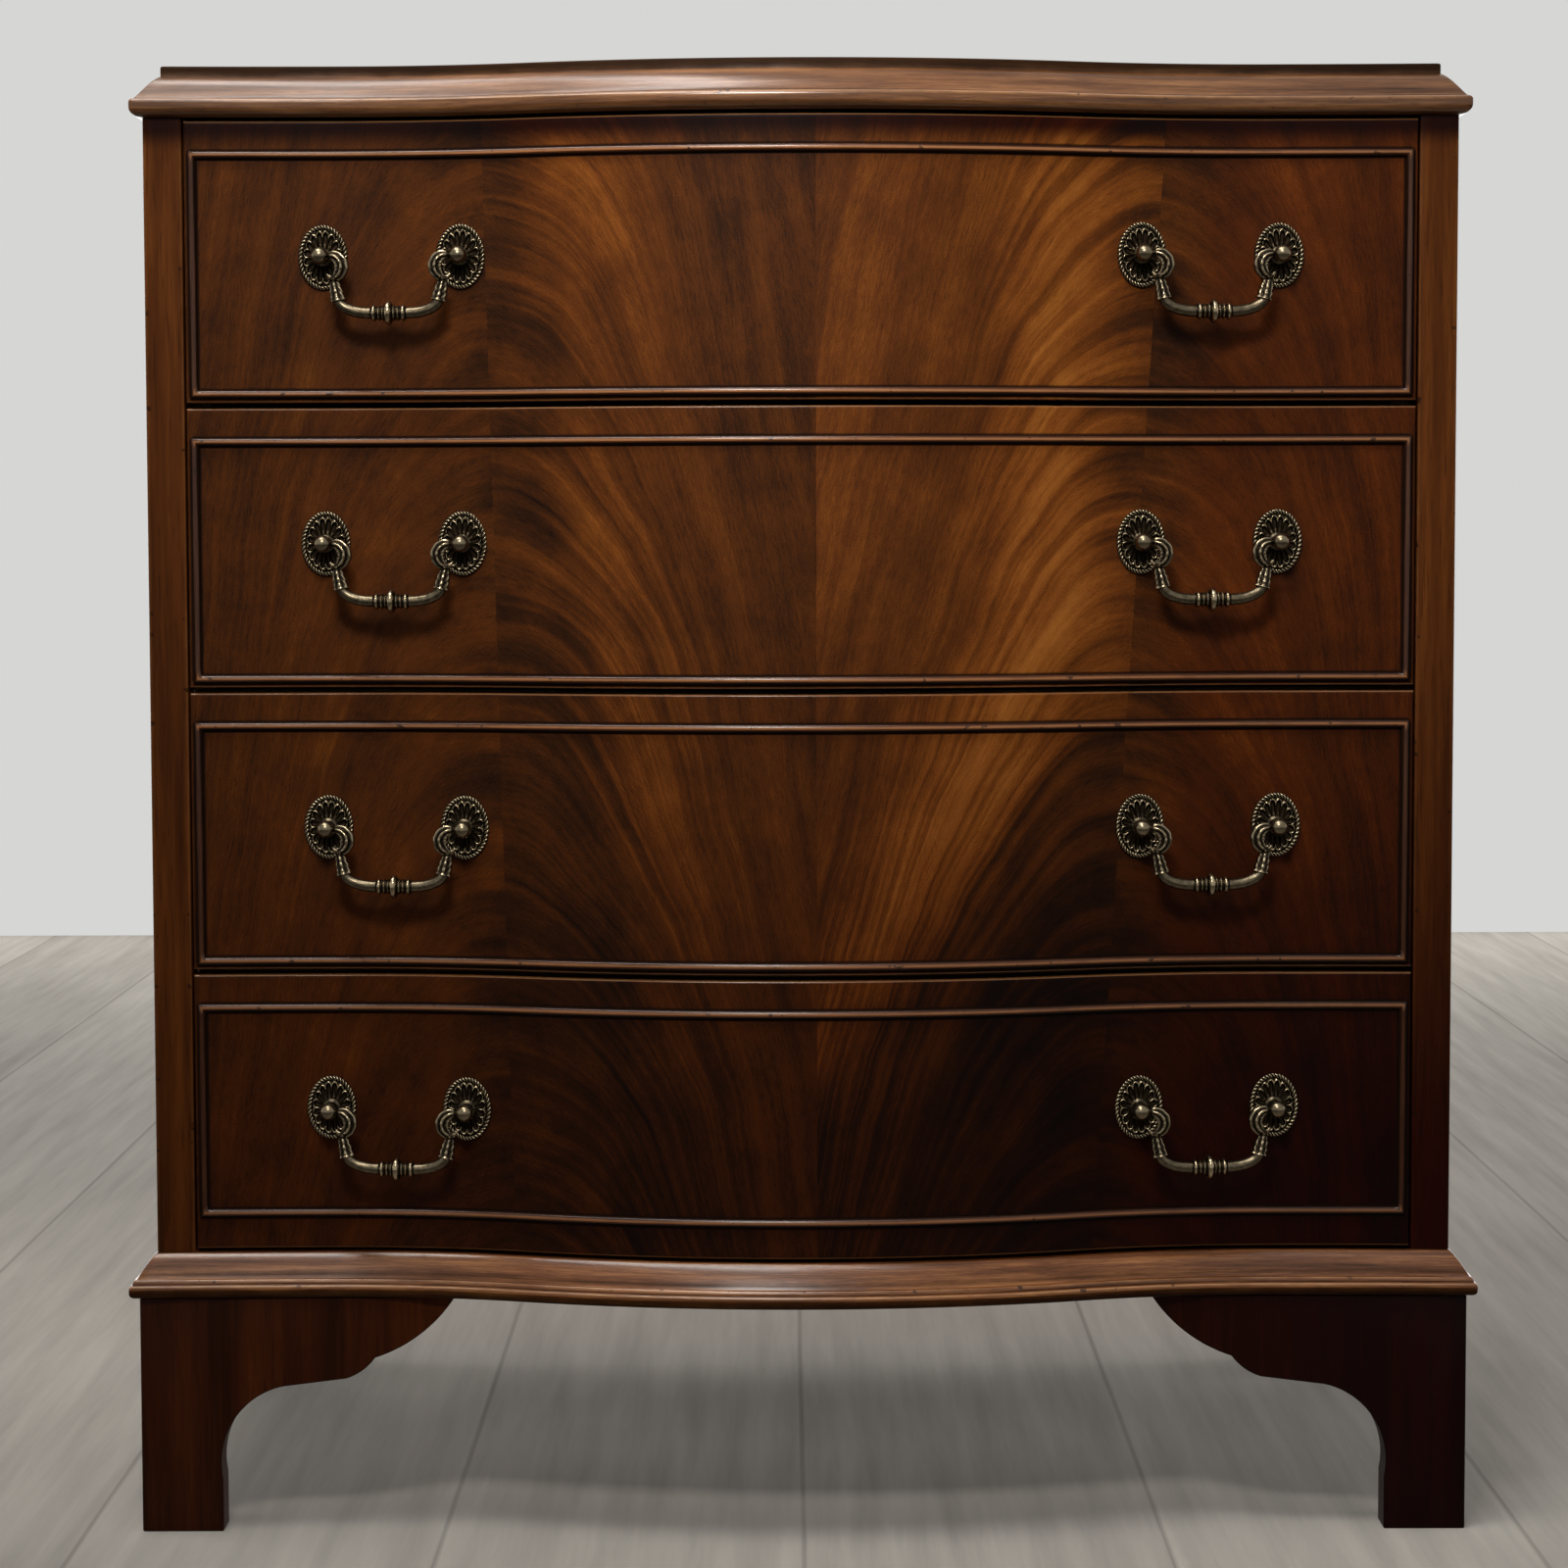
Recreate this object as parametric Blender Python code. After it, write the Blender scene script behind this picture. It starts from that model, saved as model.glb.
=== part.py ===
"""Serpentine chest of drawers on bracket feet, with swan-neck handles.

Metres, +Z up. The origin is on the floor under the middle of the chest, and the front faces -Y.
Each drawer slides forward on the board below it, and each bail swings on the pins in its two posts.
One plan curve, a bow between two hollows, shapes the fronts, beads, boards and mouldings.
"""

import math

import bmesh
import bpy

# Case
CASE_WIDTH = 0.684
CORNER_DEPTH = 0.4127  # from a front corner of the case to its back
SIDE_THICKNESS = 0.020
BOARD_THICKNESS = 0.012  # dust boards
HOUSING_DEPTH = 0.006  # of a dust board in a side
BACK_THICKNESS = 0.005
BACK_INSET = 0.001  # back panel, behind it the edges of the sides
REBATE_WIDTH = 0.010
FIT = 0.0003  # left between pieces that touch
WELD = 0.00001
CUT_MARGIN = 0.004  # cutters run this far past what they cut

# Plan curve of the front
BOW_RISE = 0.0365  # middle of the bow, forward of the hollows
INFLECTION_X = 0.144  # where the bow turns into a hollow
HOLLOW_X = 0.243  # deepest point of a hollow
CORNER_RISE = 0.0025  # corners of the case, forward of the hollows
STATION_STEP = 0.031  # across the front, between points on the curve
SLOPE_STEP = 0.0001
SHARP_ANGLE = 40  # degrees, past which an edge is shaded sharp

# Moulded edge of the top, from its underside up
TOP_NOSE_OUT = 0.005  # past the case
TOP_NOSE_HEIGHT = 0.0094
TOP_NOSE_ROUND = 0.0026
TOP_NOSE_ARRIS = 0.0008
TOP_COVE_HEIGHT = 0.0044
TOP_COVE_DEPTH = 0.0048
TOP_ROUND_HEIGHT = 0.0080
TOP_ROUND_DEPTH = 0.0070
TOP_FILLET_HEIGHT = 0.0055

# Moulded edge of the base, from its underside up
BASE_NOSE_OUT = 0.0133  # past the case
BASE_NOSE_HEIGHT = 0.0074
BASE_NOSE_ARRIS = 0.0009
BASE_QUIRK = 0.0016
BASE_BEAD_HEIGHT = 0.0036
BASE_BEAD_DEPTH = 0.0035
BASE_COVE_HEIGHT = 0.0078
BASE_COVE_DEPTH = 0.0050
BASE_ROUND_HEIGHT = 0.0035
ARC_STEPS = 3  # in each quarter of a moulding

# Bracket feet
FOOT_HEIGHT = 0.1257
FOOT_PROUD = 0.0084  # past the case
BRACKET_THICKNESS = 0.020
GLUE_BLOCK = 0.016  # across the inner corner of a foot
BRACKET_LENGTH = 0.1665
TOE_BULGE = 0.0046  # of the lobe at a bracket's end
TOE_STEPS = 5
SHOULDER_RUN = 0.1240  # from the corner of the foot to the notch between the lobes
SHOULDER_DROP = 0.0325  # below the top of the foot
LOBE_RUN = 0.1084
LOBE_DROP = 0.0436
LOBE_BULGE = 0.0016
LOBE_STEPS = 3
SPRING_RUN = 0.0747  # where the hollow down to the leg begins
SPRING_DROP = 0.0478
HOLLOW_BULGE = 0.0120
HOLLOW_STEPS = 6
LEG_WIDTH = 0.0430
LEG_DROP = 0.0970  # where the hollow meets the leg
REAR_BRACKET_LENGTH = 0.1000

# Drawers, numbered from the top
DRAWERS = 4
FRONT_HEIGHT = 0.1457
FRONT_THICKNESS = 0.020
FRONT_GAP = 0.003  # between one front and the next
FRONT_SIDE_GAP = 0.001
FRONT_LIFT = 0.002  # of a front above what its drawer runs on
TOP_GAP = 0.0019  # above the top front
STOP_GAP = 0.0005  # between a front and the board behind it
HEADROOM = 0.003  # above the sides of a drawer
LINING_THICKNESS = 0.010  # sides and back of a drawer
DRAWER_LENGTH = 0.350  # from the front to the rear of the sides
PANEL_THICKNESS = 0.005
PANEL_LIFT = 0.008  # of the bottom panel above the lower edge of the sides
GROOVE_DEPTH = 0.004  # for the panel, in the sides
FRONT_GROOVE_DEPTH = 0.006
BACK_HOUSING = 0.005  # of a drawer back in the sides
BACK_FORWARD = 0.010  # drawer back, ahead of the rear of the sides
BACK_DROP = 0.004  # drawer back, below the top of the sides
TAILS = 3
TAIL_LENGTH = 0.012
TAIL_WIDTH = 0.018  # where it leaves the side
TAIL_SPLAY = 0.002  # each edge, at the tip
TAIL_BORDER = 0.006  # from the outer tails to the groove and to the top of the side

# Cock bead
BEAD_WIDTH = 0.0046
BEAD_PROUD = 0.0026
BEAD_TOP_BAND = 0.0175  # from the top of a front to the middle of its bead
BEAD_BORDER = 0.0043  # from the ends and the lower edge
BEAD_LOW_BAND = 0.0189  # lower edge of the bottom front
BEAD_STEPS = 3

# Handles
HANDLE_INSET = 0.129  # from the side of the case to the middle of a handle
HANDLE_DROP = 0.0705  # of the pivots below the top of a front
POST_SPACING = 0.072
ROSETTE_WIDTH = 0.0258
ROSETTE_HEIGHT = 0.0338
ROSETTE_EDGE = 0.0012
ROSETTE_RIM_WIDTH = 0.0026
ROSETTE_RIM = 0.0022
ROSETTE_DISH = 0.0012
BOSS_RADIUS = 0.0050
BOSS_HEIGHT = 0.0036
NECK_RADIUS = 0.0023
POST_REACH = 0.017  # of a ball's centre from the front
BALL_RADIUS = 0.0045
BALL_STEPS = 2
BALL_FROM = -50  # degrees, where the ball leaves its neck
BALL_TO = 62
POST_SIDES = 12
PIN_RADIUS = 0.00115
PIN_DEPTH = 0.0024  # in the ball
PIN_CLEARANCE = 0.0004
BORE_SIDES = 10
SHOULDER_GAP = 0.0006  # between the ball and the bail
SHOULDER_RADIUS = 0.0020
SWAN_OFFSET = 0.0080  # from the post to the middle of the swan-neck curl
SWAN_RADIUS = 0.0052
SWAN_SWEEP = 150  # degrees
SWAN_SWELL = 0.0010
SWAN_STEPS = 4
WAIST_RADIUS = 0.0017
WAIST_BEND = 0.0028
WAIST_STEPS = 2
LEAF_RADIUS = 0.0033
ROD_RADIUS = 0.0021
BAIL_DROP = 0.0281  # from the pivots to the rod
BAIL_CORNER = 0.0055
CORNER_STEPS = 3
COLLAR_OUT = 0.0074  # from the middle of the rod
COLLAR_WIDTH = 0.0016
COLLAR_RADIUS = 0.0038
THROAT_RADIUS = 0.0025
KNOP_WIDTH = 0.0034
KNOP_RADIUS = 0.0061
BAIL_SIDES = 6

# Heights and places that follow from the sizes above
TOP_HEIGHT = TOP_NOSE_HEIGHT + TOP_COVE_HEIGHT + TOP_ROUND_HEIGHT + TOP_FILLET_HEIGHT
BASE_HEIGHT = BASE_NOSE_HEIGHT + BASE_BEAD_HEIGHT + BASE_COVE_HEIGHT + BASE_ROUND_HEIGHT
BASE_TOP = FOOT_HEIGHT + BASE_HEIGHT
DRAWER_PITCH = FRONT_HEIGHT + FRONT_GAP
CASE_TOP = BASE_TOP + FRONT_LIFT + DRAWERS * DRAWER_PITCH - FRONT_GAP + TOP_GAP
OVERALL_DEPTH = CORNER_DEPTH + BOW_RISE - CORNER_RISE + BASE_NOSE_OUT
BACK_Y = OVERALL_DEPTH / 2
CORNER_Y = BACK_Y - CORNER_DEPTH
REBATE_Y = BACK_Y - BACK_THICKNESS - BACK_INSET - FIT
CASE_HALF = CASE_WIDTH / 2
INNER_HALF = CASE_HALF - SIDE_THICKNESS
FRONT_HALF = INNER_HALF - FRONT_SIDE_GAP
LINING_HALF = FRONT_HALF - LINING_THICKNESS  # to the inner face of a drawer side
HANDLE_X = CASE_HALF - HANDLE_INSET

# Radii of the plan curve, whose arcs meet at a tangent
RADII_SUM = (HOLLOW_X**2 + BOW_RISE**2) / (2 * BOW_RISE)
BOW_RADIUS = RADII_SUM * INFLECTION_X / HOLLOW_X
HOLLOW_RADIUS = RADII_SUM - BOW_RADIUS
CORNER_RUN = CASE_HALF - HOLLOW_X
CORNER_RADIUS = (CORNER_RUN**2 + CORNER_RISE**2) / (2 * CORNER_RISE)


def sagitta(run, radius):
    """How far an arc falls from its crown, at a run to one side."""
    return radius - math.sqrt(radius**2 - run**2)


def face_y(x):
    """The face of the drawer fronts at x: a bow, a hollow on each side, and ends that turn forward."""
    run = abs(x)
    if run <= INFLECTION_X:
        rise = BOW_RISE - sagitta(run, BOW_RADIUS)
    elif run <= HOLLOW_X:
        rise = sagitta(HOLLOW_X - run, HOLLOW_RADIUS)
    else:
        rise = sagitta(run - HOLLOW_X, CORNER_RADIUS)
    return CORNER_Y + CORNER_RISE - rise


def parallel_y(x, out):
    """A curve that runs a distance out in front of the face, measured square to it."""
    slope = (face_y(x + SLOPE_STEP) - face_y(x - SLOPE_STEP)) / (2 * SLOPE_STEP)
    return face_y(x) - out * math.hypot(1, slope)


def built_y(x):
    """The face as it is built, flat between stations."""
    before = math.floor(x / STATION_STEP)
    share = x / STATION_STEP - before
    return (1 - share) * face_y(before * STATION_STEP) + share * face_y((before + 1) * STATION_STEP)


def stations(half_width):
    """Places between -half_width and half_width, on steps that all the curved pieces share."""
    count = math.ceil(half_width / STATION_STEP) - 1
    return [step * STATION_STEP for step in range(-count, count + 1)]


def across(half_width):
    """The stations with both ends added."""
    return [-half_width, *stations(half_width), half_width]


def quarter_arc(start, end, first_axis):
    """Points after the start on a quarter of an ellipse, which leaves along the first axis or the second."""
    points = []
    for step in range(1, ARC_STEPS + 1):
        turn = math.pi / 2 * step / ARC_STEPS
        early, late = math.sin(turn), 1 - math.cos(turn)
        first, second = (early, late) if first_axis else (late, early)
        points.append((start[0] + (end[0] - start[0]) * first, start[1] + (end[1] - start[1]) * second))
    return points


def bulged(start, end, bulge, steps):
    """Points after the start on a circular arc that bulges to the left of the line to its end."""
    run, fall = end[0] - start[0], end[1] - start[1]
    chord = math.hypot(run, fall)
    radius = (chord**2 / 4 + bulge**2) / (2 * bulge)
    points = []
    for step in range(1, steps + 1):
        along = chord * step / steps
        out = math.sqrt(radius**2 - (along - chord / 2) ** 2) - (radius - bulge)
        x = start[0] + (run * along - fall * out) / chord
        points.append((x, start[1] + (fall * along + run * out) / chord))
    return points


def finish(name, colour, roughness, metallic=0.0):
    """A plain material for the source's own views."""
    made = bpy.data.materials.new(name)
    made.use_nodes = True
    shader = made.node_tree.nodes["Principled BSDF"]
    shader.inputs["Base Color"].default_value = (*colour, 1)
    shader.inputs["Roughness"].default_value = roughness
    shader.inputs["Metallic"].default_value = metallic
    made.diffuse_color = (*colour, 1)
    return made


def to_mesh(name, shape):
    """The bmesh as mesh data, with its faces turned outward."""
    bmesh.ops.recalc_face_normals(shape, faces=shape.faces)
    data = bpy.data.meshes.new(name)
    shape.to_mesh(data)
    shape.free()
    return data


def skin(name, rings, endless=False):
    """A closed surface through rings of points. The end rings are capped, or joined when it is endless."""
    shape = bmesh.new()
    loops = [[shape.verts.new(point) for point in ring] for ring in rings]
    pairs = list(zip(loops, loops[1:]))
    if endless:
        pairs.append((loops[-1], loops[0]))
    else:
        shape.faces.new(loops[0])
        shape.faces.new(loops[-1])
    for low, high in pairs:
        for i in range(len(low)):
            shape.faces.new((low[i - 1], low[i], high[i], high[i - 1]))
    return to_mesh(name, shape)


def standing(name, outline, low, high):
    """A plan outline pulled up from one height to another."""
    return skin(name, [[(x, y, z) for x, y in outline] for z in (low, high)])


def sideways(name, outline, left, right):
    """An outline of (y, z) points pulled across from one x to another."""
    return skin(name, [[(x, y, z) for y, z in outline] for x in (left, right)])


def box(name, x_range, y_range, z_range):
    """A block between two places on each axis."""
    (left, right), (near, far) = x_range, y_range
    return standing(name, [(left, near), (right, near), (right, far), (left, far)], *z_range)


def curved_wall(name, half_width, near, far, low, high):
    """A wall between two copies of the face, set back by near and by far."""
    places = across(half_width)
    outline = [(x, face_y(x) + near) for x in places]
    outline += [(x, face_y(x) + far) for x in reversed(places)]
    return standing(name, outline, low, high)


def curved_board(name, half_width, set_back, back_y, low, high):
    """A flat board whose front edge follows the face, set back from it."""
    outline = [(x, face_y(x) + set_back) for x in across(half_width)]
    outline += [(half_width, back_y), (-half_width, back_y)]
    return standing(name, outline, low, high)


def rounded(data):
    """The mesh shaded smooth, apart from its sharp edges."""
    data.shade_smooth()
    data.set_sharp_from_angle(angle=math.radians(SHARP_ANGLE))
    return data


def piece(data, look, parent=None, location=(0, 0, 0), turn=0.0):
    """A named object for one sub-part."""
    obj = bpy.data.objects.new(data.name, data)
    obj.location = location
    obj.rotation_euler.z = turn
    obj.parent = parent
    if not data.materials:
        data.materials.append(look)
    bpy.context.collection.objects.link(obj)
    return obj


def cutter(data, parent=None, location=(0, 0, 0), turn=0.0):
    """A hidden object that only cuts others."""
    obj = bpy.data.objects.new(data.name, data)
    obj.location = location
    obj.rotation_euler.z = turn
    obj.parent = parent
    obj.hide_render = True
    obj.display_type = "WIRE"
    bpy.context.collection.objects.link(obj)
    return obj


def cut(obj, tool):
    """Takes the tool's shape out of the object."""
    modifier = obj.modifiers.new(tool.name, "BOOLEAN")
    modifier.operation = "DIFFERENCE"
    modifier.solver = "EXACT"
    modifier.object = tool


def run_level(number):
    """The height of what a drawer runs on."""
    return BASE_TOP + (DRAWERS - number) * DRAWER_PITCH


def ceiling(number):
    """The height of what is above a drawer's sides."""
    return CASE_TOP if number == 1 else run_level(number - 1) - BOARD_THICKNESS


def moulded_board(name, profile, bottom):
    """A board with a moulded edge round its front and ends. The profile holds (out past the case, height)."""
    inner = stations(CASE_HALF + min(out for out, _ in profile))
    rings = []
    for out, height in profile:
        half = CASE_HALF + out
        ring = [(x, parallel_y(x, out), bottom + height) for x in (-half, *inner, half)]
        ring += [(half, BACK_Y, bottom + height), (-half, BACK_Y, bottom + height)]
        rings.append(ring)
    return rounded(skin(name, rings))


def top_profile():
    """Rounded nose, arris, cove, round and an upright fillet."""
    arris = (TOP_NOSE_OUT - TOP_NOSE_ARRIS, TOP_NOSE_HEIGHT)
    waist = (arris[0] - TOP_COVE_DEPTH, TOP_NOSE_HEIGHT + TOP_COVE_HEIGHT)
    crown = (waist[0] - TOP_ROUND_DEPTH, waist[1] + TOP_ROUND_HEIGHT)
    profile = [(TOP_NOSE_OUT - TOP_NOSE_ROUND, 0)]
    profile += quarter_arc(profile[0], (TOP_NOSE_OUT, TOP_NOSE_ROUND), True)
    profile += [(TOP_NOSE_OUT, TOP_NOSE_HEIGHT - TOP_NOSE_ARRIS), arris]
    profile += quarter_arc(arris, waist, True)
    profile += quarter_arc(waist, crown, False)
    profile.append((crown[0], TOP_HEIGHT))
    return profile


def base_profile():
    """Upright nose, quirk, bead, cove and a rounded top that ends against the case."""
    low = BASE_NOSE_OUT - BASE_NOSE_ARRIS
    quirk = (BASE_NOSE_OUT - BASE_QUIRK, BASE_NOSE_HEIGHT)
    bead = (quirk[0] - BASE_BEAD_DEPTH, quirk[1] + BASE_BEAD_HEIGHT)
    cove = (bead[0] - BASE_COVE_DEPTH, bead[1] + BASE_COVE_HEIGHT)
    profile = [(low, 0), (BASE_NOSE_OUT, BASE_NOSE_ARRIS)]
    profile += [(BASE_NOSE_OUT, BASE_NOSE_HEIGHT - BASE_NOSE_ARRIS), (low, BASE_NOSE_HEIGHT), quirk]
    profile += quarter_arc(quirk, bead, False)
    profile += quarter_arc(bead, cove, True)
    profile += quarter_arc(cove, (0, BASE_HEIGHT), False)
    return profile


def side_board(name, side, look):
    """A side of the case, with housings for the dust boards and a rebate for the back panel."""
    lip = CASE_HALF - SIDE_THICKNESS + REBATE_WIDTH
    plan = [(CASE_HALF, face_y(CASE_HALF)), (CASE_HALF, BACK_Y), (lip, BACK_Y), (lip, REBATE_Y)]
    plan += [(INNER_HALF, REBATE_Y), (INNER_HALF, face_y(INNER_HALF))]
    plan = [(side * x, y) for x, y in plan]
    board = piece(standing(name, plan, BASE_TOP + FIT, CASE_TOP - FIT), look)
    floor_x = INNER_HALF + HOUSING_DEPTH
    front = face_y(floor_x) + FRONT_THICKNESS + STOP_GAP - FIT
    for number in range(1, DRAWERS):
        top = run_level(number)
        housing = box(
            f"{name}_housing_{number}",
            sorted((side * (INNER_HALF - CUT_MARGIN), side * floor_x)),
            (front, REBATE_Y + CUT_MARGIN),
            (top - BOARD_THICKNESS - FIT, top + FIT),
        )
        cut(board, cutter(housing))


def case(wood, veneer, ply):
    """The fixed boards: base, top, sides, dust boards and back."""
    piece(moulded_board("base", base_profile(), FOOT_HEIGHT), wood)
    piece(moulded_board("top", top_profile(), CASE_TOP), wood)
    side_board("side_left", -1, veneer)
    side_board("side_right", 1, veneer)
    half = INNER_HALF + HOUSING_DEPTH - FIT
    set_back = FRONT_THICKNESS + STOP_GAP
    for number in range(1, DRAWERS):
        top = run_level(number)
        board = curved_board(
            f"dust_board_{number}", half, set_back, REBATE_Y, top - BOARD_THICKNESS, top
        )
        piece(board, ply)
    panel_half = INNER_HALF + REBATE_WIDTH - FIT
    panel_y = REBATE_Y + FIT
    back = box(
        "back_panel",
        (-panel_half, panel_half),
        (panel_y, panel_y + BACK_THICKNESS),
        (BASE_TOP + FIT, CASE_TOP - FIT),
    )
    piece(back, ply)


def bracket_outline():
    """A shaped bracket as (run from the corner, height), from the corner's top round to its foot."""
    height = FOOT_HEIGHT - FIT
    toe = (BRACKET_LENGTH, height)
    shoulder = (SHOULDER_RUN, height - SHOULDER_DROP)
    lobe = (LOBE_RUN, height - LOBE_DROP)
    spring = (SPRING_RUN, height - SPRING_DROP)
    leg = (LEG_WIDTH, height - LEG_DROP)
    outline = [(0, height), toe]
    outline += bulged(toe, shoulder, TOE_BULGE, TOE_STEPS)
    outline += bulged(shoulder, lobe, LOBE_BULGE, LOBE_STEPS)
    outline.append(spring)
    hollow = bulged(leg, spring, HOLLOW_BULGE, HOLLOW_STEPS)
    outline += reversed(hollow[:-1])
    outline += [leg, (LEG_WIDTH, 0), (0, 0)]
    return outline


def plain_outline():
    """The straight bracket at the back of a rear foot."""
    height = FOOT_HEIGHT - FIT
    slope_end = (LEG_WIDTH, height - LEG_DROP)
    return [(0, height), (REAR_BRACKET_LENGTH, height), slope_end, (LEG_WIDTH, 0), (0, 0)]


def foot(name, corner, inward, outline_x, outline_y, look):
    """Two brackets mitred at a corner of the chest, with a glue block across the angle between them."""
    shape = bmesh.new()
    corners = []
    for outline, along_x in ((outline_x, True), (outline_y, False)):
        loops = []
        for depth in (0, BRACKET_THICKNESS):
            start = depth + GLUE_BLOCK if depth else 0
            loop = []
            for run, z in outline:
                run = max(run, start)
                x, y = (run, depth) if along_x else (depth, run)
                loop.append(shape.verts.new((corner[0] + inward[0] * x, corner[1] + inward[1] * y, z)))
            shape.faces.new(loop)
            loops.append(loop)
        outer, inner = loops
        for i in range(1, len(outline)):
            shape.faces.new((outer[i - 1], outer[i], inner[i], inner[i - 1]))
        corners.append(loops)
    (outer, inner), (_, other) = corners
    shape.faces.new((outer[0], inner[0], other[0]))
    shape.faces.new((outer[-1], inner[-1], other[-1]))
    shape.faces.new((inner[0], inner[-1], other[-1], other[0]))
    bmesh.ops.remove_doubles(shape, verts=shape.verts, dist=WELD)
    piece(to_mesh(name, shape), look)


def feet(wood):
    """Shaped brackets at the front and sides, and plain ones at the back."""
    half = CASE_HALF + FOOT_PROUD
    front_y = CORNER_Y - FOOT_PROUD
    shaped = bracket_outline()
    plain = plain_outline()
    for side, word in ((-1, "left"), (1, "right")):
        foot(f"foot_front_{word}", (side * half, front_y), (-side, 1), shaped, shaped, wood)
        foot(f"foot_rear_{word}", (side * half, BACK_Y), (-side, -1), plain, shaped, wood)


def bead_frame(name, low, high):
    """A half-round bead, mitred round a front."""
    rings = []
    half = FRONT_HALF - BEAD_BORDER
    inner = stations(half - BEAD_WIDTH / 2)
    for step in range(BEAD_STEPS + 1):
        turn = math.pi * step / BEAD_STEPS
        wide = BEAD_WIDTH / 2 * math.cos(turn)
        proud = FIT + BEAD_PROUD * math.sin(turn)
        places = [(x, parallel_y(x, proud)) for x in (-half - wide, *inner, half + wide)]
        ring = [(x, y, high + wide) for x, y in places]
        ring += [(x, y, low - wide) for x, y in reversed(places)]
        rings.append(ring)
    return rounded(skin(name, rings, endless=True))


def tail_heights(side_top):
    """The middle of each dovetail, spread between the groove and the top of the side."""
    first = PANEL_LIFT + PANEL_THICKNESS + TAIL_BORDER + TAIL_WIDTH / 2 + TAIL_SPLAY
    last = side_top - TAIL_BORDER - TAIL_WIDTH / 2 - TAIL_SPLAY
    return [first + (last - first) * i / (TAILS - 1) for i in range(TAILS)]


def tail_tip(butt_y):
    """Where the tails end, in the front."""
    return butt_y - TAIL_LENGTH


def drawer_side(name, side, side_low, side_top, butt_y, look, parent):
    """A side whose tails enter the front, grooved for the panel and housed for the back."""
    half = TAIL_WIDTH / 2
    rear = butt_y + DRAWER_LENGTH
    outline = [(rear, side_low), (butt_y, side_low)]
    for z in tail_heights(side_top):
        outline += [(butt_y, z - half), (tail_tip(butt_y), z - half - TAIL_SPLAY)]
        outline += [(tail_tip(butt_y), z + half + TAIL_SPLAY), (butt_y, z + half)]
    outline += [(butt_y, side_top), (rear, side_top)]
    board = piece(sideways(name, outline, side * LINING_HALF, side * (FRONT_HALF - FIT)), look, parent)
    near_x = side * (LINING_HALF - CUT_MARGIN)
    panel_low = side_low + PANEL_LIFT
    groove = box(
        f"{name}_groove",
        sorted((near_x, side * (LINING_HALF + GROOVE_DEPTH))),
        (butt_y - CUT_MARGIN, rear + CUT_MARGIN),
        (panel_low - FIT, panel_low + PANEL_THICKNESS + FIT),
    )
    cut(board, cutter(groove, parent))
    back_rear = rear - BACK_FORWARD
    housing = box(
        f"{name}_housing",
        sorted((near_x, side * (LINING_HALF + BACK_HOUSING))),
        (back_rear - LINING_THICKNESS - FIT, back_rear + FIT),
        (panel_low + PANEL_THICKNESS, side_top + CUT_MARGIN),
    )
    cut(board, cutter(housing, parent))


def tail_socket(name, side, z, butt_y, parent):
    """The space in a front for one dovetail."""
    half = TAIL_WIDTH / 2 + FIT
    tip = tail_tip(butt_y) - FIT
    mouth = butt_y + CUT_MARGIN
    wide = half + TAIL_SPLAY
    outline = [(mouth, z - half), (tip, z - wide), (tip, z + wide), (mouth, z + half)]
    reach = (side * (LINING_HALF - FIT), side * (FRONT_HALF + CUT_MARGIN))
    return cutter(sideways(name, outline, *reach), parent)


def drawer(number, looks):
    """One drawer, in a frame that stands at the height of what it runs on."""
    veneer, wood, lining, ply, brass = looks
    name = f"drawer_{number}"
    slide = bpy.data.objects.new(name, None)
    slide.location.z = run_level(number)
    bpy.context.collection.objects.link(slide)

    front_low, front_high = FRONT_LIFT, FRONT_LIFT + FRONT_HEIGHT
    side_low, side_top = FIT, ceiling(number) - run_level(number) - HEADROOM
    butt_y = face_y(LINING_HALF) + FRONT_THICKNESS + FIT
    panel_low = side_low + PANEL_LIFT
    panel_high = panel_low + PANEL_THICKNESS

    wall = curved_wall(f"{name}_front", FRONT_HALF, 0, FRONT_THICKNESS, front_low, front_high)
    front = piece(wall, veneer, slide)
    groove_floor = FRONT_THICKNESS - FRONT_GROOVE_DEPTH
    panel_half = LINING_HALF + GROOVE_DEPTH - FIT
    groove = curved_wall(
        f"{name}_front_groove",
        panel_half + FIT,
        groove_floor,
        FRONT_THICKNESS + CUT_MARGIN,
        panel_low - FIT,
        panel_high + FIT,
    )
    cut(front, cutter(groove, slide))
    for side, word in ((-1, "left"), (1, "right")):
        for i, z in enumerate(tail_heights(side_top), 1):
            cut(front, tail_socket(f"{name}_socket_{word}_{i}", side, z, butt_y, slide))
        drawer_side(f"{name}_side_{word}", side, side_low, side_top, butt_y, lining, slide)

    back_rear = butt_y + DRAWER_LENGTH - BACK_FORWARD
    back_half = LINING_HALF + BACK_HOUSING - FIT
    back = box(
        f"{name}_back",
        (-back_half, back_half),
        (back_rear - LINING_THICKNESS, back_rear),
        (panel_high + FIT, side_top - BACK_DROP),
    )
    piece(back, lining, slide)
    panel = curved_board(
        f"{name}_bottom", panel_half, groove_floor + FIT, back_rear, panel_low, panel_high
    )
    piece(panel, ply, slide)

    band = BEAD_LOW_BAND if number == DRAWERS else BEAD_BORDER
    piece(bead_frame(f"{name}_bead", front_low + band, front_high - BEAD_TOP_BAND), wood, slide)
    for side, word in ((-1, "left"), (1, "right")):
        handle(f"{name}_{word}", side, front_high - HANDLE_DROP, brass, slide)


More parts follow.
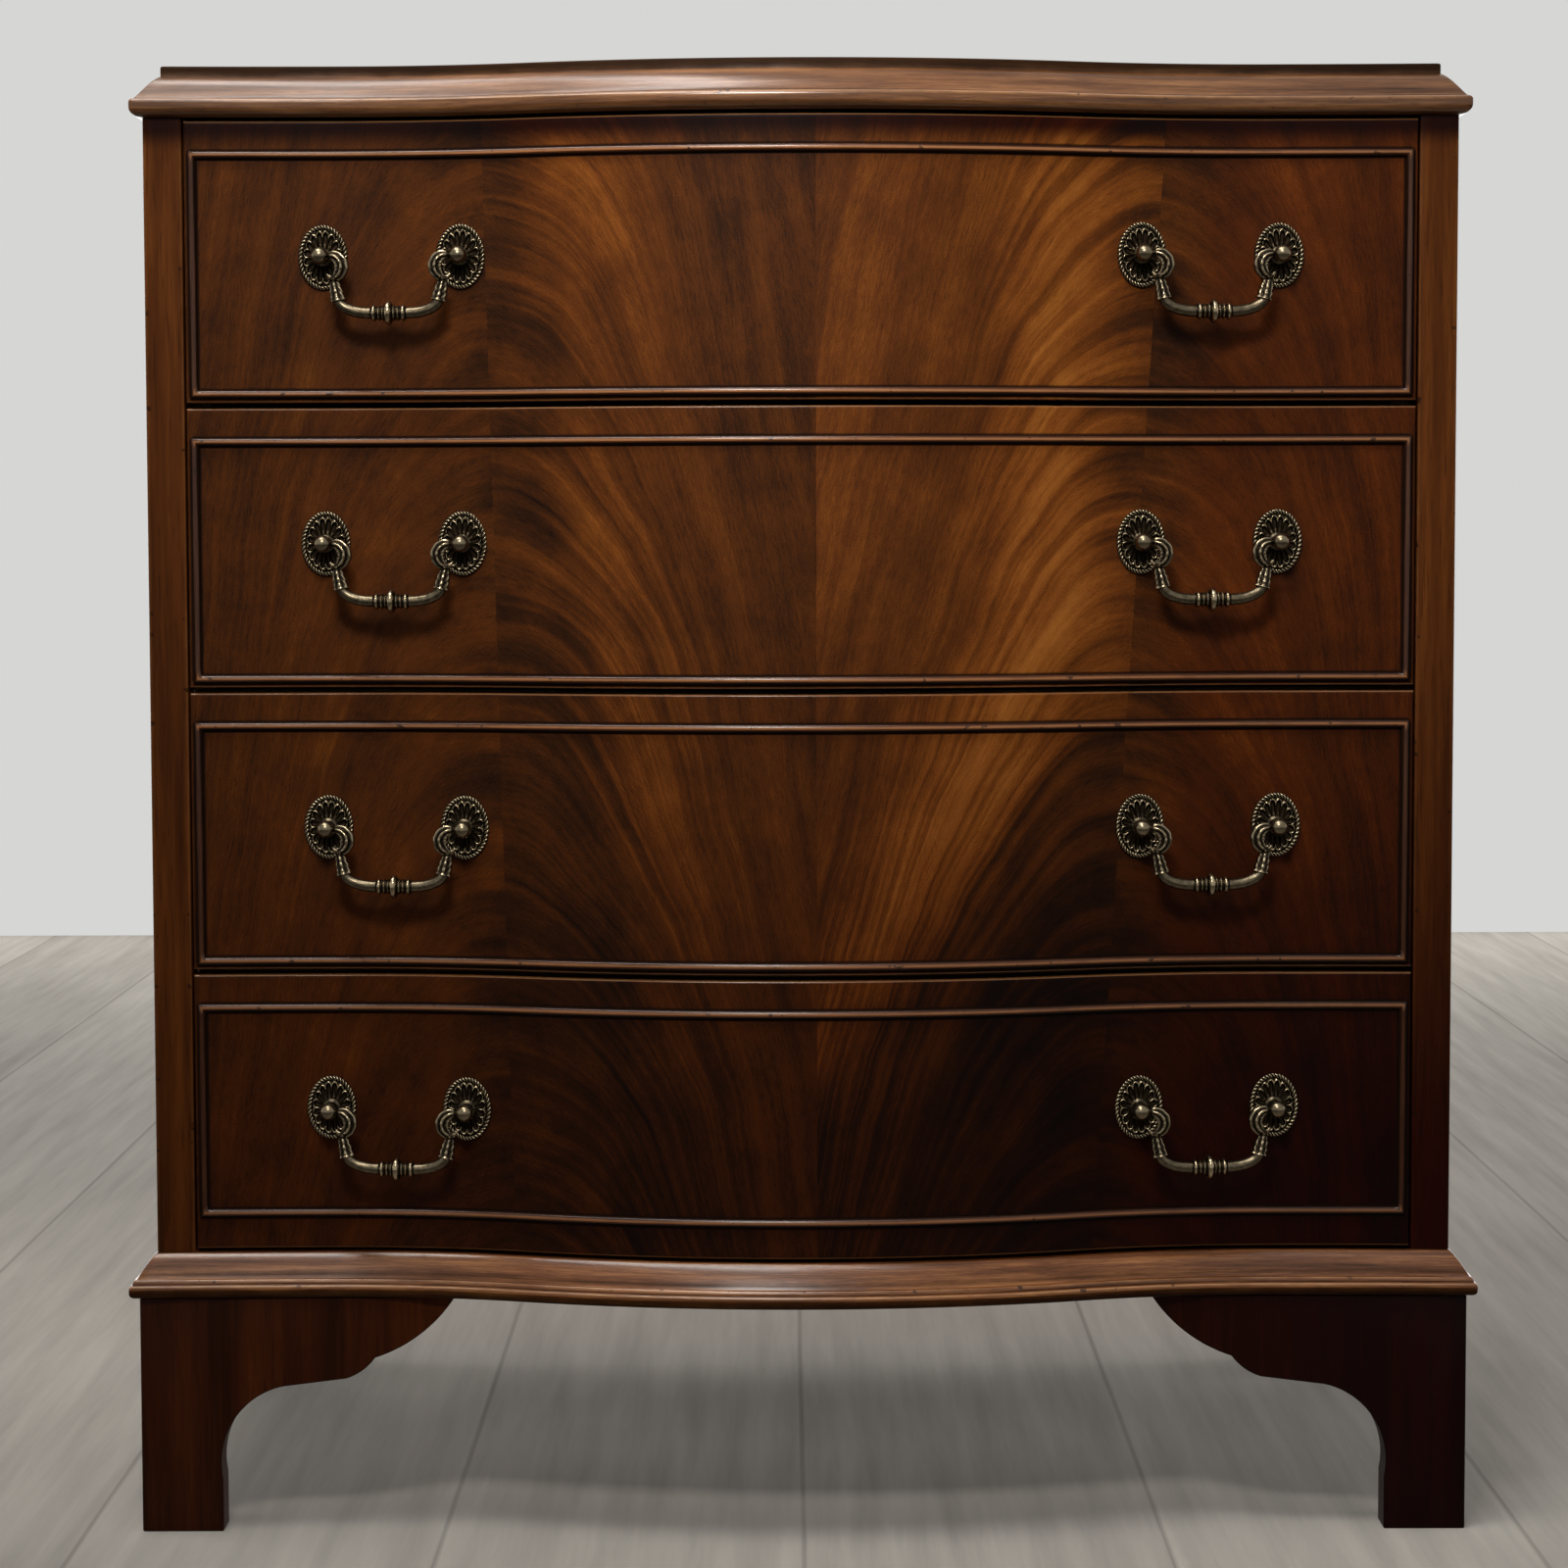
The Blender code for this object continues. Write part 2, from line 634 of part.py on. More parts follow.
def ellipse_ring(x, width, height, proud, bent):
    """A ring on the front at x, in the post's own frame. A bent ring follows the curve of the front."""
    ring = []
    for i in range(POST_SIDES):
        turn = 2 * math.pi * i / POST_SIDES
        run = width * math.cos(turn)
        set_back = built_y(x + run) - face_y(x) if bent else 0
        ring.append((run, set_back - proud, height * math.sin(turn)))
    return ring


def post(name, x):
    """An oval rosette, bent to the front, with a boss, a neck and a ball head."""
    wide, high = ROSETTE_WIDTH / 2, ROSETTE_HEIGHT / 2
    rim = ROSETTE_RIM_WIDTH / 2
    rings = [
        ellipse_ring(x, wide, high, FIT, True),
        ellipse_ring(x, wide, high, FIT + ROSETTE_EDGE, True),
        ellipse_ring(x, wide - rim, high - rim, FIT + ROSETTE_RIM, True),
        ellipse_ring(x, wide - 2 * rim, high - 2 * rim, FIT + ROSETTE_DISH, True),
        ellipse_ring(x, BOSS_RADIUS, BOSS_RADIUS, BOSS_HEIGHT, False),
        ellipse_ring(x, NECK_RADIUS, NECK_RADIUS, POST_REACH - BALL_RADIUS, False),
    ]
    for step in range(BALL_STEPS + 1):
        rise = math.radians(BALL_FROM + (BALL_TO - BALL_FROM) * step / BALL_STEPS)
        radius = BALL_RADIUS * math.cos(rise)
        rings.append(ellipse_ring(x, radius, radius, POST_REACH + BALL_RADIUS * math.sin(rise), False))
    return rounded(skin(name, rings))


def turned(place, radius, bend, steps):
    """Places after this one on an arc. A place holds (x, z, heading), and a positive bend turns left."""
    x, z, heading = place
    side = math.copysign(radius, bend)
    centre = (x - side * math.sin(heading), z + side * math.cos(heading))
    places = []
    for step in range(1, steps + 1):
        now = heading + bend * step / steps
        places.append((centre[0] + side * math.sin(now), centre[1] - side * math.cos(now), now))
    return places


def half_bail(half_span):
    """From the tip of one pin to the middle of the rod, as (x, z, heading, radius)."""
    inward = math.pi
    ball = half_span - BALL_RADIUS
    shoulder = ball - SHOULDER_GAP
    curl = (half_span - SWAN_OFFSET, 0, inward)
    path = [(ball + PIN_DEPTH, 0, inward, PIN_RADIUS), (shoulder, 0, inward, PIN_RADIUS)]
    path += [(shoulder, 0, inward, SHOULDER_RADIUS), (*curl, SHOULDER_RADIUS + SWAN_SWELL / 2)]
    swan = turned(curl, SWAN_RADIUS, math.radians(SWAN_SWEEP), SWAN_STEPS)
    for i, place in enumerate(swan, 1):
        swell = SWAN_SWELL * math.sin(math.pi * i / SWAN_STEPS)
        path.append((*place, SHOULDER_RADIUS + swell))
    down = 3 * math.pi / 2
    waist = turned(swan[-1], WAIST_BEND, down - swan[-1][2], WAIST_STEPS)
    path += [(*place, WAIST_RADIUS) for place in waist]
    x = waist[-1][0]
    leaf_end = (x, BAIL_CORNER - BAIL_DROP, down)
    path += [(*leaf_end, LEAF_RADIUS), (*leaf_end, ROD_RADIUS)]
    path += [(*place, ROD_RADIUS) for place in turned(leaf_end, BAIL_CORNER, -math.pi / 2, CORNER_STEPS)]
    for x, radius in (
        (COLLAR_OUT, ROD_RADIUS),
        (COLLAR_OUT, COLLAR_RADIUS),
        (COLLAR_OUT - COLLAR_WIDTH, COLLAR_RADIUS),
        (COLLAR_OUT - COLLAR_WIDTH, THROAT_RADIUS),
        (KNOP_WIDTH / 2, THROAT_RADIUS),
        (KNOP_WIDTH / 4, KNOP_RADIUS),
    ):
        path.append((x, -BAIL_DROP, inward, radius))
    return path


def bail(name, half_span):
    """A swan-neck bail with its pivots on the X axis, hanging."""
    half = half_bail(half_span)
    path = half + [(-x, z, -heading, radius) for x, z, heading, radius in reversed(half)]
    rings = []
    for x, z, heading, radius in path:
        ring = []
        for i in range(BAIL_SIDES):
            turn = 2 * math.pi * i / BAIL_SIDES
            across_path = radius * math.cos(turn)
            ring.append(
                (
                    x - across_path * math.sin(heading),
                    radius * math.sin(turn),
                    z + across_path * math.cos(heading),
                )
            )
        rings.append(ring)
    return rounded(skin(name, rings))


def pivot_bore(name, half_span):
    """A rod through both balls, as deep in each as a pin."""
    reach = half_span - BALL_RADIUS + PIN_DEPTH + PIN_CLEARANCE
    radius = PIN_RADIUS + PIN_CLEARANCE
    rings = []
    for x in (-reach, reach):
        turns = [2 * math.pi * i / BORE_SIDES for i in range(BORE_SIDES)]
        rings.append([(x, radius * math.cos(turn), radius * math.sin(turn)) for turn in turns])
    return skin(name, rings)


def handle(name, side, z, brass, parent):
    """Two posts on a front and the bail between them."""
    left_x = side * HANDLE_X - POST_SPACING / 2
    right_x = side * HANDLE_X + POST_SPACING / 2
    skew = face_y(right_x) - face_y(left_x)
    turn = math.atan2(skew, POST_SPACING)
    half_span = math.hypot(skew, POST_SPACING) / 2
    pivot_y = (face_y(left_x) + face_y(right_x)) / 2 - POST_REACH
    pivot = (side * HANDLE_X, pivot_y, z)
    bore = cutter(pivot_bore(f"{name}_bore", half_span), parent, pivot, turn)
    for word, x in (("left", left_x), ("right", right_x)):
        cut(piece(post(f"{name}_post_{word}", x), brass, parent, (x, face_y(x), z)), bore)
    piece(bail(f"{name}_bail", half_span), brass, parent, pivot, turn)


def main():
    for obj in list(bpy.data.objects):
        bpy.data.objects.remove(obj, do_unlink=True)
    veneer = finish("flame mahogany veneer", (0.17, 0.055, 0.022), 0.30)
    wood = finish("polished mahogany", (0.20, 0.075, 0.032), 0.32)
    lining = finish("drawer lining oak", (0.50, 0.33, 0.19), 0.60)
    ply = finish("plywood", (0.42, 0.28, 0.17), 0.65)
    brass = finish("antique brass", (0.36, 0.24, 0.10), 0.35, 1.0)
    case(wood, veneer, ply)
    feet(wood)
    for number in range(1, DRAWERS + 1):
        drawer(number, (veneer, wood, lining, ply, brass))


main()
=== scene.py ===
"""Looks of a serpentine chest of drawers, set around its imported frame.

Metres, +Z up, the front faces -Y. Every new piece is a surface worked out with numpy, where the frame has it.
The plan curve and the sizes of the case, the feet and the drawers are those of the part's source. Mouldings,
rosettes and bails have a finer form here.
"""

import math

import bmesh
import bpy
import numpy as np
from mathutils import Euler
from mathutils import Matrix
from mathutils import Vector

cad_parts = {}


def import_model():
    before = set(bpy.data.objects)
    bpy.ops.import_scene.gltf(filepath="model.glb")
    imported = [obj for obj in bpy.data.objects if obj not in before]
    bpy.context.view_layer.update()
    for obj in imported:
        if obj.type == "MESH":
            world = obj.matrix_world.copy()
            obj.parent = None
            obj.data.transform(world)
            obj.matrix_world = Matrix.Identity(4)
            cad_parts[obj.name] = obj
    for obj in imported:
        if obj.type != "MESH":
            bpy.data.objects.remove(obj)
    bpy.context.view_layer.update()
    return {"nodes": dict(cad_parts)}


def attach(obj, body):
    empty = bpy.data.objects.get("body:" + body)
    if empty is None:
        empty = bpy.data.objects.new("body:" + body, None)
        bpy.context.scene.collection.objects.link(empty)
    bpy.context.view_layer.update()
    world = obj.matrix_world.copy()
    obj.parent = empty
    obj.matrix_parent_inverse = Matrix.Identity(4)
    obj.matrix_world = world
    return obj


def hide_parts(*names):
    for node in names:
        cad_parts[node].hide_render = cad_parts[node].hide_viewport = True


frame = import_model()

# Case
CASE_HALF = 0.342
SIDE_THICKNESS = 0.020
INNER_HALF = CASE_HALF - SIDE_THICKNESS
BACK_Y = 0.230
CASE_DEPTH = 0.4127
CORNER_Y = BACK_Y - CASE_DEPTH
BASE_TOP = 0.148
CASE_TOP = 0.7437
FIT = 0.0003
REBATE_WIDTH = 0.010
REBATE_DEPTH = 0.0063
CORNER_ROUND = 0.0012
ARRIS_ROUND = 0.0011

# Arrises of the plain boards, the angle in degrees past which an edge is one, and points taken as the same
BOARD_ARRIS = 0.0006
PANEL_ARRIS = 0.0005
ARRIS_ANGLE = 50
SAME_PLACE = 0.00001

# Plan curve of the front
BOW_RISE = 0.0365
INFLECTION_X = 0.144
HOLLOW_X = 0.243
CORNER_RISE = 0.0025
RADII_SUM = (HOLLOW_X**2 + BOW_RISE**2) / (2 * BOW_RISE)
BOW_RADIUS = RADII_SUM * INFLECTION_X / HOLLOW_X
HOLLOW_RADIUS = RADII_SUM - BOW_RADIUS
CORNER_RUN = CASE_HALF - HOLLOW_X
CORNER_RADIUS = (CORNER_RUN**2 + CORNER_RISE**2) / (2 * CORNER_RISE)
SLOPE_STEP = 0.0001
ACROSS = 201

# Moulded edges, as (out past the case, height), traced from their outline at a corner
TOP_NOSE = ((0.0006, 0.0), (0.0062, 0.0048), (0.0062, 0.0070), (0.0040, 0.0095))
TOP_OGEE = ((0.0038, 0.0095), (0.0010, 0.0123), (-0.0041, 0.0202), (-0.0081, 0.0218))
TOP_FILLET = ((-0.0083, 0.0219), (-0.0083, 0.0266), (-0.0089, 0.0273), (-0.0150, 0.0273))
BASE_NOSE = ((0.0106, 0.0), (0.0133, 0.0026), (0.0133, 0.0046), (0.0120, 0.0068))
BASE_BEAD = ((0.0117, 0.0069), (0.0096, 0.0098))
BASE_SWEEP = ((0.0095, 0.0099), (0.0083, 0.0119), (0.0027, 0.0209), (0.0, 0.0223))
PROFILE_EASE = 0.0005
EDGE_REACH = 0.0009

# Darkened heights of the moulded edges, as (height, edge value): the top's dark fillet, and painted shade on
# the base
TOP_DARK_FILLET = ((0.0222, 0.0), (0.0223, -1.0))
BASE_PAINTED_SHADING = (
    (0.0043, -0.8),
    (0.0045, 0.0),
    (0.0099, 0.0),
    (0.0118, -0.55),
    (0.0150, -0.1),
    (0.0160, 0.0),
    (0.0219, 0.0),
    (0.0220, -1.0),
)

# Bracket feet
FOOT_HEIGHT = 0.1257
FOOT_PROUD = 0.0084
BRACKET_THICKNESS = 0.020
GLUE_BLOCK = 0.016
TOE = 0.1665
SHOULDER = (0.1240, 0.0325)
LOBE = (0.1084, 0.0436)
SPRING = (0.0747, 0.0478)
LEG = (0.0430, 0.0970)
TOE_BULGE = 0.0046
LOBE_BULGE = 0.0016
HOLLOW_BULGE = 0.0120
REAR_BRACKET = 0.1000
FOOT_ARRIS = 0.0009

# Drawers, numbered from the top
DRAWERS = 4
FRONT_HEIGHT = 0.1457
FRONT_THICKNESS = 0.020
FRONT_LIFT = 0.002
DRAWER_GAP = 0.003
DRAWER_PITCH = FRONT_HEIGHT + DRAWER_GAP
FRONT_GAP = 0.001
FRONT_HALF = INNER_HALF - FRONT_GAP
FRONT_ARRIS = 0.0011
LAP = 0.0080
END_RECESS = 0.0005

# Cock beads, and the bands of a front outside them
BEAD_WIDTH = 0.0046
BEAD_PROUD = 0.0026
BEAD_TOP_BAND = 0.0175
BEAD_BORDER = 0.0043
BEAD_LOW_BAND = 0.0189
BEAD_SINK = 0.0001
UPRIGHT_STEPS = 29

# Rows of points on a front, at its edges and past a bead's foot, then the reach of wax and painted shade, and
# the rub of arrises
FIRST_ROW = 0.0020
ROW_MARGIN = 0.0015
STATION_MARGIN = 0.0001
BESIDE_BEAD = np.array([-0.0016, -0.0003, 0.0003, 0.0008, 0.0015, 0.0026])
BEAD_SHADING_REACH = 0.0010
LEVEL_RUB = 0.95
END_RUB = 0.35

# Place of the handles
HANDLE_X = 0.213
HANDLE_DROP = 0.0705
POST_SPACING = 0.072
POST_REACH = 0.017

# Rosettes: oval, roped rim, petals as shares of the way out from the hub, and heights above the plate
ROSETTE = (0.0258, 0.0338)
PLATE = 0.0009
FOOT_SINK = 0.0002
STRANDS = 44
ROPE_RADIUS = 0.00118
ROPE_TWIST = 8.0
PETALS = 16
PETAL_SHOULDER = 0.60
PETAL_TIP = 0.31
RIB_RISE = 0.0012
PETAL_HOLLOW = 0.0006
DISH_RISE = 0.0006

# Posts: hub, neck with its reaches out of the front, and ball
HUB_RADIUS = 0.0050
HUB_LIP = 0.0001
HUB_FOOT = 0.0012
HUB_RISE = 0.0024
NECK_RADIUS = 0.0023
NECK_FILLET = 0.0003
NECK_REACHES = (0.0040, 0.0055, 0.0115)
BALL_RADIUS = 0.0045
BALL_STEPS = 20

# Path of a bail: pin, swan neck, waist, sleeve and rod, with the sweeps in degrees
PIN_DEPTH = 0.0024
PIN_STEP = 0.0002
SHOULDER_GAP = 0.0006
SWAN_OFFSET = 0.0058
SWAN_RADIUS = 0.0060
SWAN_SWEEP = 152
WAIST_BEND = 0.0018
SLEEVE_LEAN = math.radians(13)
SLEEVE_LENGTH = 0.0105
BAIL_DROP = 0.0298
ROD_PULLS = (0.0034, 0.0090)
KNOP_GAP = 0.0006
TIP_RADIUS = 0.0032
TIP_SWEEP = 105

# Thickness of a bail along that path, as radii, and the carving on it
PIN_RADIUS = 0.00115
NECK_THICK = (0.0017, 0.0021)
SWAN_SWELL = 0.0011
COLLAR_SWELL = 0.0015
SLEEVE_THICK = 0.0023
SLEEVE_FLARE = 0.0014
LIP_SWELL = 0.0006
ROD_RADIUS = 0.0030
ROD_TAPER = 0.0002
TIP_THICK = 0.0014
TIP_POINT = 0.0002
BAIL_SIDES = 48
FLUTES = 6
FLUTE = 0.0002
LEAF_FLUTE = 0.0005
SWAN_VEIN = 0.00009
SLEEVE_VEIN = 0.00015
VEIN_SPACING = 0.0034
VEIN_SLANT = 4.5

# Half of a bail's turned knop, from the rod to the middle: run, radius, and how bright it is rubbed
KNOP = np.array(
    [
        (0.0091, 0.0030, -0.8),
        (0.0087, 0.0034, -0.3),
        (0.0083, 0.0041, 0.7),
        (0.0078, 0.0044, 1.0),
        (0.0073, 0.0043, 0.9),
        (0.0069, 0.0038, 0.2),
        (0.0065, 0.0032, -0.8),
        (0.0059, 0.0032, -0.8),
        (0.0055, 0.0038, 0.2),
        (0.0050, 0.0042, 0.9),
        (0.0045, 0.0039, 0.2),
        (0.0041, 0.0033, -0.8),
        (0.0036, 0.0033, -0.8),
        (0.0032, 0.0039, 0.3),
        (0.0027, 0.0042, 0.6),
        (0.0022, 0.0039, -0.4),
        (0.0018, 0.0043, -0.4),
        (0.0014, 0.0054, 0.5),
        (0.0009, 0.0061, 0.9),
        (0.0004, 0.0063, 1.0),
        (0.0, 0.0063, 1.0),
    ]
)

# Washer, nut and bolt end inside a front: sides, and their line as (radius, distance from the inside)
FASTENERS = (
    (28, ((0.0056, -0.0004), (0.0056, 0.0007), (0.0052, 0.0010), (0.0020, 0.0010))),
    (6, ((0.0038, 0.0009), (0.0042, 0.0013), (0.0042, 0.0037), (0.0038, 0.0041))),
    (20, ((0.0018, 0.0009), (0.0018, 0.0066), (0.0013, 0.0072), (0.0004, 0.0072))),
)

# Camera, with its angles in degrees, and floor
LENS = 88.4
SENSOR_WIDTH = 36.0
CAMERA_PLACE = (-0.0095, -2.2007, 0.535)
CAMERA_TIP = 3.94
CAMERA_ROLL = -0.14
FLOOR_HALF = 6.0
FLOOR_BACK = 2.75
FLOOR_BOARD = 0.19

# Lamps: name, place, target, size, watts, tint and spread in degrees
LAMPS = (
    ("front strip lamp", (-0.36, -0.58, 1.68), (-0.05, -0.2, 0.66), (0.9, 0.24), 1.4, (1.0, 0.97, 0.93), 60),
    ("front lamp", (-0.16, -1.40, 1.46), (-0.02, -0.2, 0.62), (0.34, 0.22), 1.25, (1.0, 0.97, 0.93), 50),
    ("upper strip lamp", (-0.15, -0.40, 1.95), (0, -0.25, 0.76), (1.5, 0.12), 0.95, (1.0, 0.97, 0.95), 60),
    ("left lamp", (-2.0, 0.4, 0.7), (-0.3, 0.05, 0.3), (0.8, 1.0), 4, (1.0, 0.98, 0.96), 120),
    ("right lamp", (2.0, 0.4, 0.7), (0.3, 0.05, 0.3), (0.8, 1.0), 4, (1.0, 0.98, 0.96), 120),
    ("ceiling lamp", (0, 1.5, 2.5), (0, 1.2, 0), (3.0, 2.0), 7, (1.0, 0.99, 0.98), 110),
    ("wall lamp", (0, 2.7, 0.7), (0, 0, 0.25), (5.0, 1.3), 42, (1.0, 0.99, 0.97), 180),
)


def run_level(number):
    """The height of what a drawer runs on."""
    return BASE_TOP + (DRAWERS - number) * DRAWER_PITCH


def front_span(number):
    """The lower and upper edge of a drawer's front."""
    low = run_level(number) + FRONT_LIFT
    return low, low + FRONT_HEIGHT


def sagitta(run, radius):
    """How far an arc falls from its crown, at a run to one side."""
    return radius - np.sqrt(radius**2 - run**2)


def face_y(x):
    """The face of the fronts at x: the arcs of the bow, a hollow and an end, each tangent to the last."""
    run = np.abs(x)
    bow = BOW_RISE - sagitta(np.minimum(run, INFLECTION_X), BOW_RADIUS)
    hollow = sagitta(HOLLOW_X - np.clip(run, INFLECTION_X, HOLLOW_X), HOLLOW_RADIUS)
    end = sagitta(np.maximum(run, HOLLOW_X) - HOLLOW_X, CORNER_RADIUS)
    rise = np.where(run <= INFLECTION_X, bow, np.where(run <= HOLLOW_X, hollow, end))
    return CORNER_Y + CORNER_RISE - rise


def parallel_y(x, out):
    """The curve a distance out in front of the face: the face less that distance over the slope's cosine."""
    slope = (face_y(x + SLOPE_STEP) - face_y(x - SLOPE_STEP)) / (2 * SLOPE_STEP)
    return face_y(x) - out * np.hypot(1, slope)


def quarter(start, end, first_axis, steps=6):
    """A quarter of an ellipse from start to end, which leaves along the first axis or along the second."""
    turn = np.linspace(0, np.pi / 2, steps)
    early = np.sin(turn)
    late = 1 - np.cos(turn)
    first, second = (early, late) if first_axis else (late, early)
    start = np.array(start)
    return start + (np.array(end) - start) * np.stack([first, second], 1)


def bulged(start, end, bulge, steps):
    """A circular arc from start to end that stands a bulge to the left of the line between them."""
    start = np.array(start)
    chord = np.array(end) - start
    length = np.hypot(*chord)
    radius = (length**2 / 4 + bulge**2) / (2 * bulge)
    along = np.linspace(0, length, steps)
    out = np.sqrt(radius**2 - (along - length / 2) ** 2) - (radius - bulge)
    left = np.array([-chord[1], chord[0]]) / length
    return start + along[:, None] * chord / length + out[:, None] * left


def eased(points, ease, closed=False):
    """A line of points with each corner cut by a short curve, whose middle lies a quarter from the corner."""
    points = np.asarray(points, float)
    before = np.roll(points, 1, 0)
    after = np.roll(points, -1, 0)
    into = points - before
    away = after - points
    long_in = np.linalg.norm(into, axis=1, keepdims=True)
    long_out = np.linalg.norm(away, axis=1, keepdims=True)
    reach = np.minimum(ease, 0.45 * np.minimum(long_in, long_out))
    first = points - into / np.maximum(long_in, 1e-9) * reach
    last = points + away / np.maximum(long_out, 1e-9) * reach
    middle = points / 2 + (first + last) / 4
    cut = np.stack([first, middle, last], 1)
    if closed:
        return cut.reshape(-1, points.shape[1])
    return np.concatenate([points[:1], cut[1:-1].reshape(-1, points.shape[1]), points[-1:]])


def bends(line, reach, closed=False):
    """How far a flat line turns left within a reach of each point, over a right angle, from -1 to 1."""
    count = len(line)
    if closed:
        line = np.concatenate([line, line, line])
    step = np.diff(line, axis=0)
    length = np.hypot(*step.T)
    heading = np.unwrap(np.arctan2(step[:, 1], step[:, 0]))
    ends = np.concatenate([[0], np.cumsum(length)])
    middle = (ends[1:] + ends[:-1]) / 2
    turn = np.interp(ends + reach, middle, heading) - np.interp(ends - reach, middle, heading)
    turn = np.clip(turn / (np.pi / 2), -1, 1)
    return turn[count : 2 * count] if closed else turn


class Patch:
    """Points, sets of faces with UV in metres, a look for each set, and an edge value for each point.

    The edge value is 1 on a worn arris and -1 in a dark corner, of wax and painted shade.
    """

    def __init__(self, points, faces, edge, looks):
        self.points = points
        self.faces = faces
        self.edge = edge
        self.looks = looks

    def volume(self):
        """Six times the space inside: the triple products of the fan of triangles in each face, summed."""
        total = 0.0
        for corners, _ in self.faces:
            ring = self.points[corners]
            total += (np.cross(ring[:, 1:-1], ring[:, 2:]) * ring[:, :1]).sum()
        return total

    def outward(self):
        """The patch with its faces turned outward."""
        if self.volume() < 0:
            self.faces = [(corners[:, ::-1], uv[:, ::-1]) for corners, uv in self.faces]
        return self


def sheet(grid, wrap=(False, False), caps=None, edge=0.0, looks=(0, 0)):
    """A grid of points as a patch of quads. Rows or columns may run round, and end rows may get caps."""
    rows, columns = grid.shape[:2]
    row, column = np.meshgrid(np.arange(rows - 1 + wrap[0]), np.arange(columns - 1 + wrap[1]), indexing="ij")
    row = np.stack([row, row + 1, row + 1, row], -1).reshape(-1, 4)
    column = np.stack([column, column, column + 1, column + 1], -1).reshape(-1, 4)
    down = np.linalg.norm(np.roll(grid, -1, 0) - grid, axis=2).mean(1)
    across = np.linalg.norm(np.roll(grid, -1, 1) - grid, axis=2).mean(0)
    down = np.concatenate([[0], np.cumsum(down)])
    across = np.concatenate([[0], np.cumsum(across)])
    quads = (row % rows) * columns + column % columns
    faces = [(quads, np.stack([across[column], down[row]], -1))]
    shown = [looks[0]]
    points = grid.reshape(-1, 3)
    if caps:
        first = np.arange(columns)[None]
        last = (rows - 1) * columns + np.arange(columns)[::-1][None]
        for ring in (first, last):
            faces.append((ring, points[ring][..., list(caps)]))
            shown.append(looks[1])
    edge = np.broadcast_to(edge, grid.shape[:2]).reshape(-1)
    return Patch(points, faces, edge, shown)


def mesh_of(name, patches, sharp):
    """One mesh of all the patches, shaded smooth apart from edges sharper than an angle."""
    mesh = bpy.data.meshes.new(name)
    points = np.concatenate([patch.points for patch in patches])
    starts = np.cumsum([0] + [len(patch.points) for patch in patches])
    corners = []
    totals = []
    uv = []
    looks = []
    for patch, start in zip(patches, starts):
        for (ring, ring_uv), look in zip(patch.faces, patch.looks):
            corners.append((ring + start).ravel())
            totals.append(np.full(len(ring), ring.shape[1]))
            uv.append(ring_uv.reshape(-1, 2))
            looks.append(np.full(len(ring), look))
    corners = np.concatenate(corners)
    totals = np.concatenate(totals)
    mesh.vertices.add(len(points))
    mesh.loops.add(len(corners))
    mesh.polygons.add(len(totals))
    mesh.vertices.foreach_set("co", points.astype(np.float32).ravel())
    mesh.loops.foreach_set("vertex_index", corners.astype(np.int32))
    mesh.polygons.foreach_set("loop_start", (np.cumsum(totals) - totals).astype(np.int32))
    mesh.polygons.foreach_set("loop_total", totals.astype(np.int32))
    mesh.polygons.foreach_set("material_index", np.concatenate(looks).astype(np.int32))
    mesh.update(calc_edges=True)
    layer = mesh.uv_layers.new(name="grain")
    layer.data.foreach_set("uv", np.concatenate(uv).astype(np.float32).ravel())
    edge = mesh.attributes.new("edge", "FLOAT", "POINT")
    edge.data.foreach_set("value", np.concatenate([patch.edge for patch in patches]).astype(np.float32))
    mesh.shade_smooth()
    mesh.set_sharp_from_angle(angle=math.radians(sharp))
    return mesh


def merged(mesh):
    """Joins points that lie together, and turns the faces outward."""
    shape = bmesh.new()
    shape.from_mesh(mesh)
    bmesh.ops.remove_doubles(shape, verts=shape.verts, dist=SAME_PLACE)
    bmesh.ops.recalc_face_normals(shape, faces=shape.faces)
    shape.to_mesh(mesh)
    shape.free()


def softened(obj, width):
    """Rounds the piece's arrises."""
    bevel = obj.modifiers.new("arrises", "BEVEL")
    bevel.width = width
    bevel.segments = 2
    bevel.limit_method = "ANGLE"
    bevel.angle_limit = math.radians(ARRIS_ANGLE)


def shown(name, data):
    """A new object in the scene."""
    obj = bpy.data.objects.new(name, data)
    bpy.context.scene.collection.objects.link(obj)
    return obj


def place(name, mesh, looks, body, nodes=()):
    """Shows a mesh as a piece that rides on a body and stands for CAD nodes."""
    for look in looks:
        mesh.materials.append(look)
    obj = shown(name, mesh)
    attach(obj, body)
    if nodes:
        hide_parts(*nodes)
    return obj


def cad_copy(node, look, body, arris):
    """A CAD node's own shape with its points merged and its arrises eased, standing for the node."""
    mesh = frame["nodes"][node].data.copy()
    mesh.name = node
    mesh.materials.clear()
    merged(mesh)
    softened(place(node, mesh, [look], body, [node]), arris)


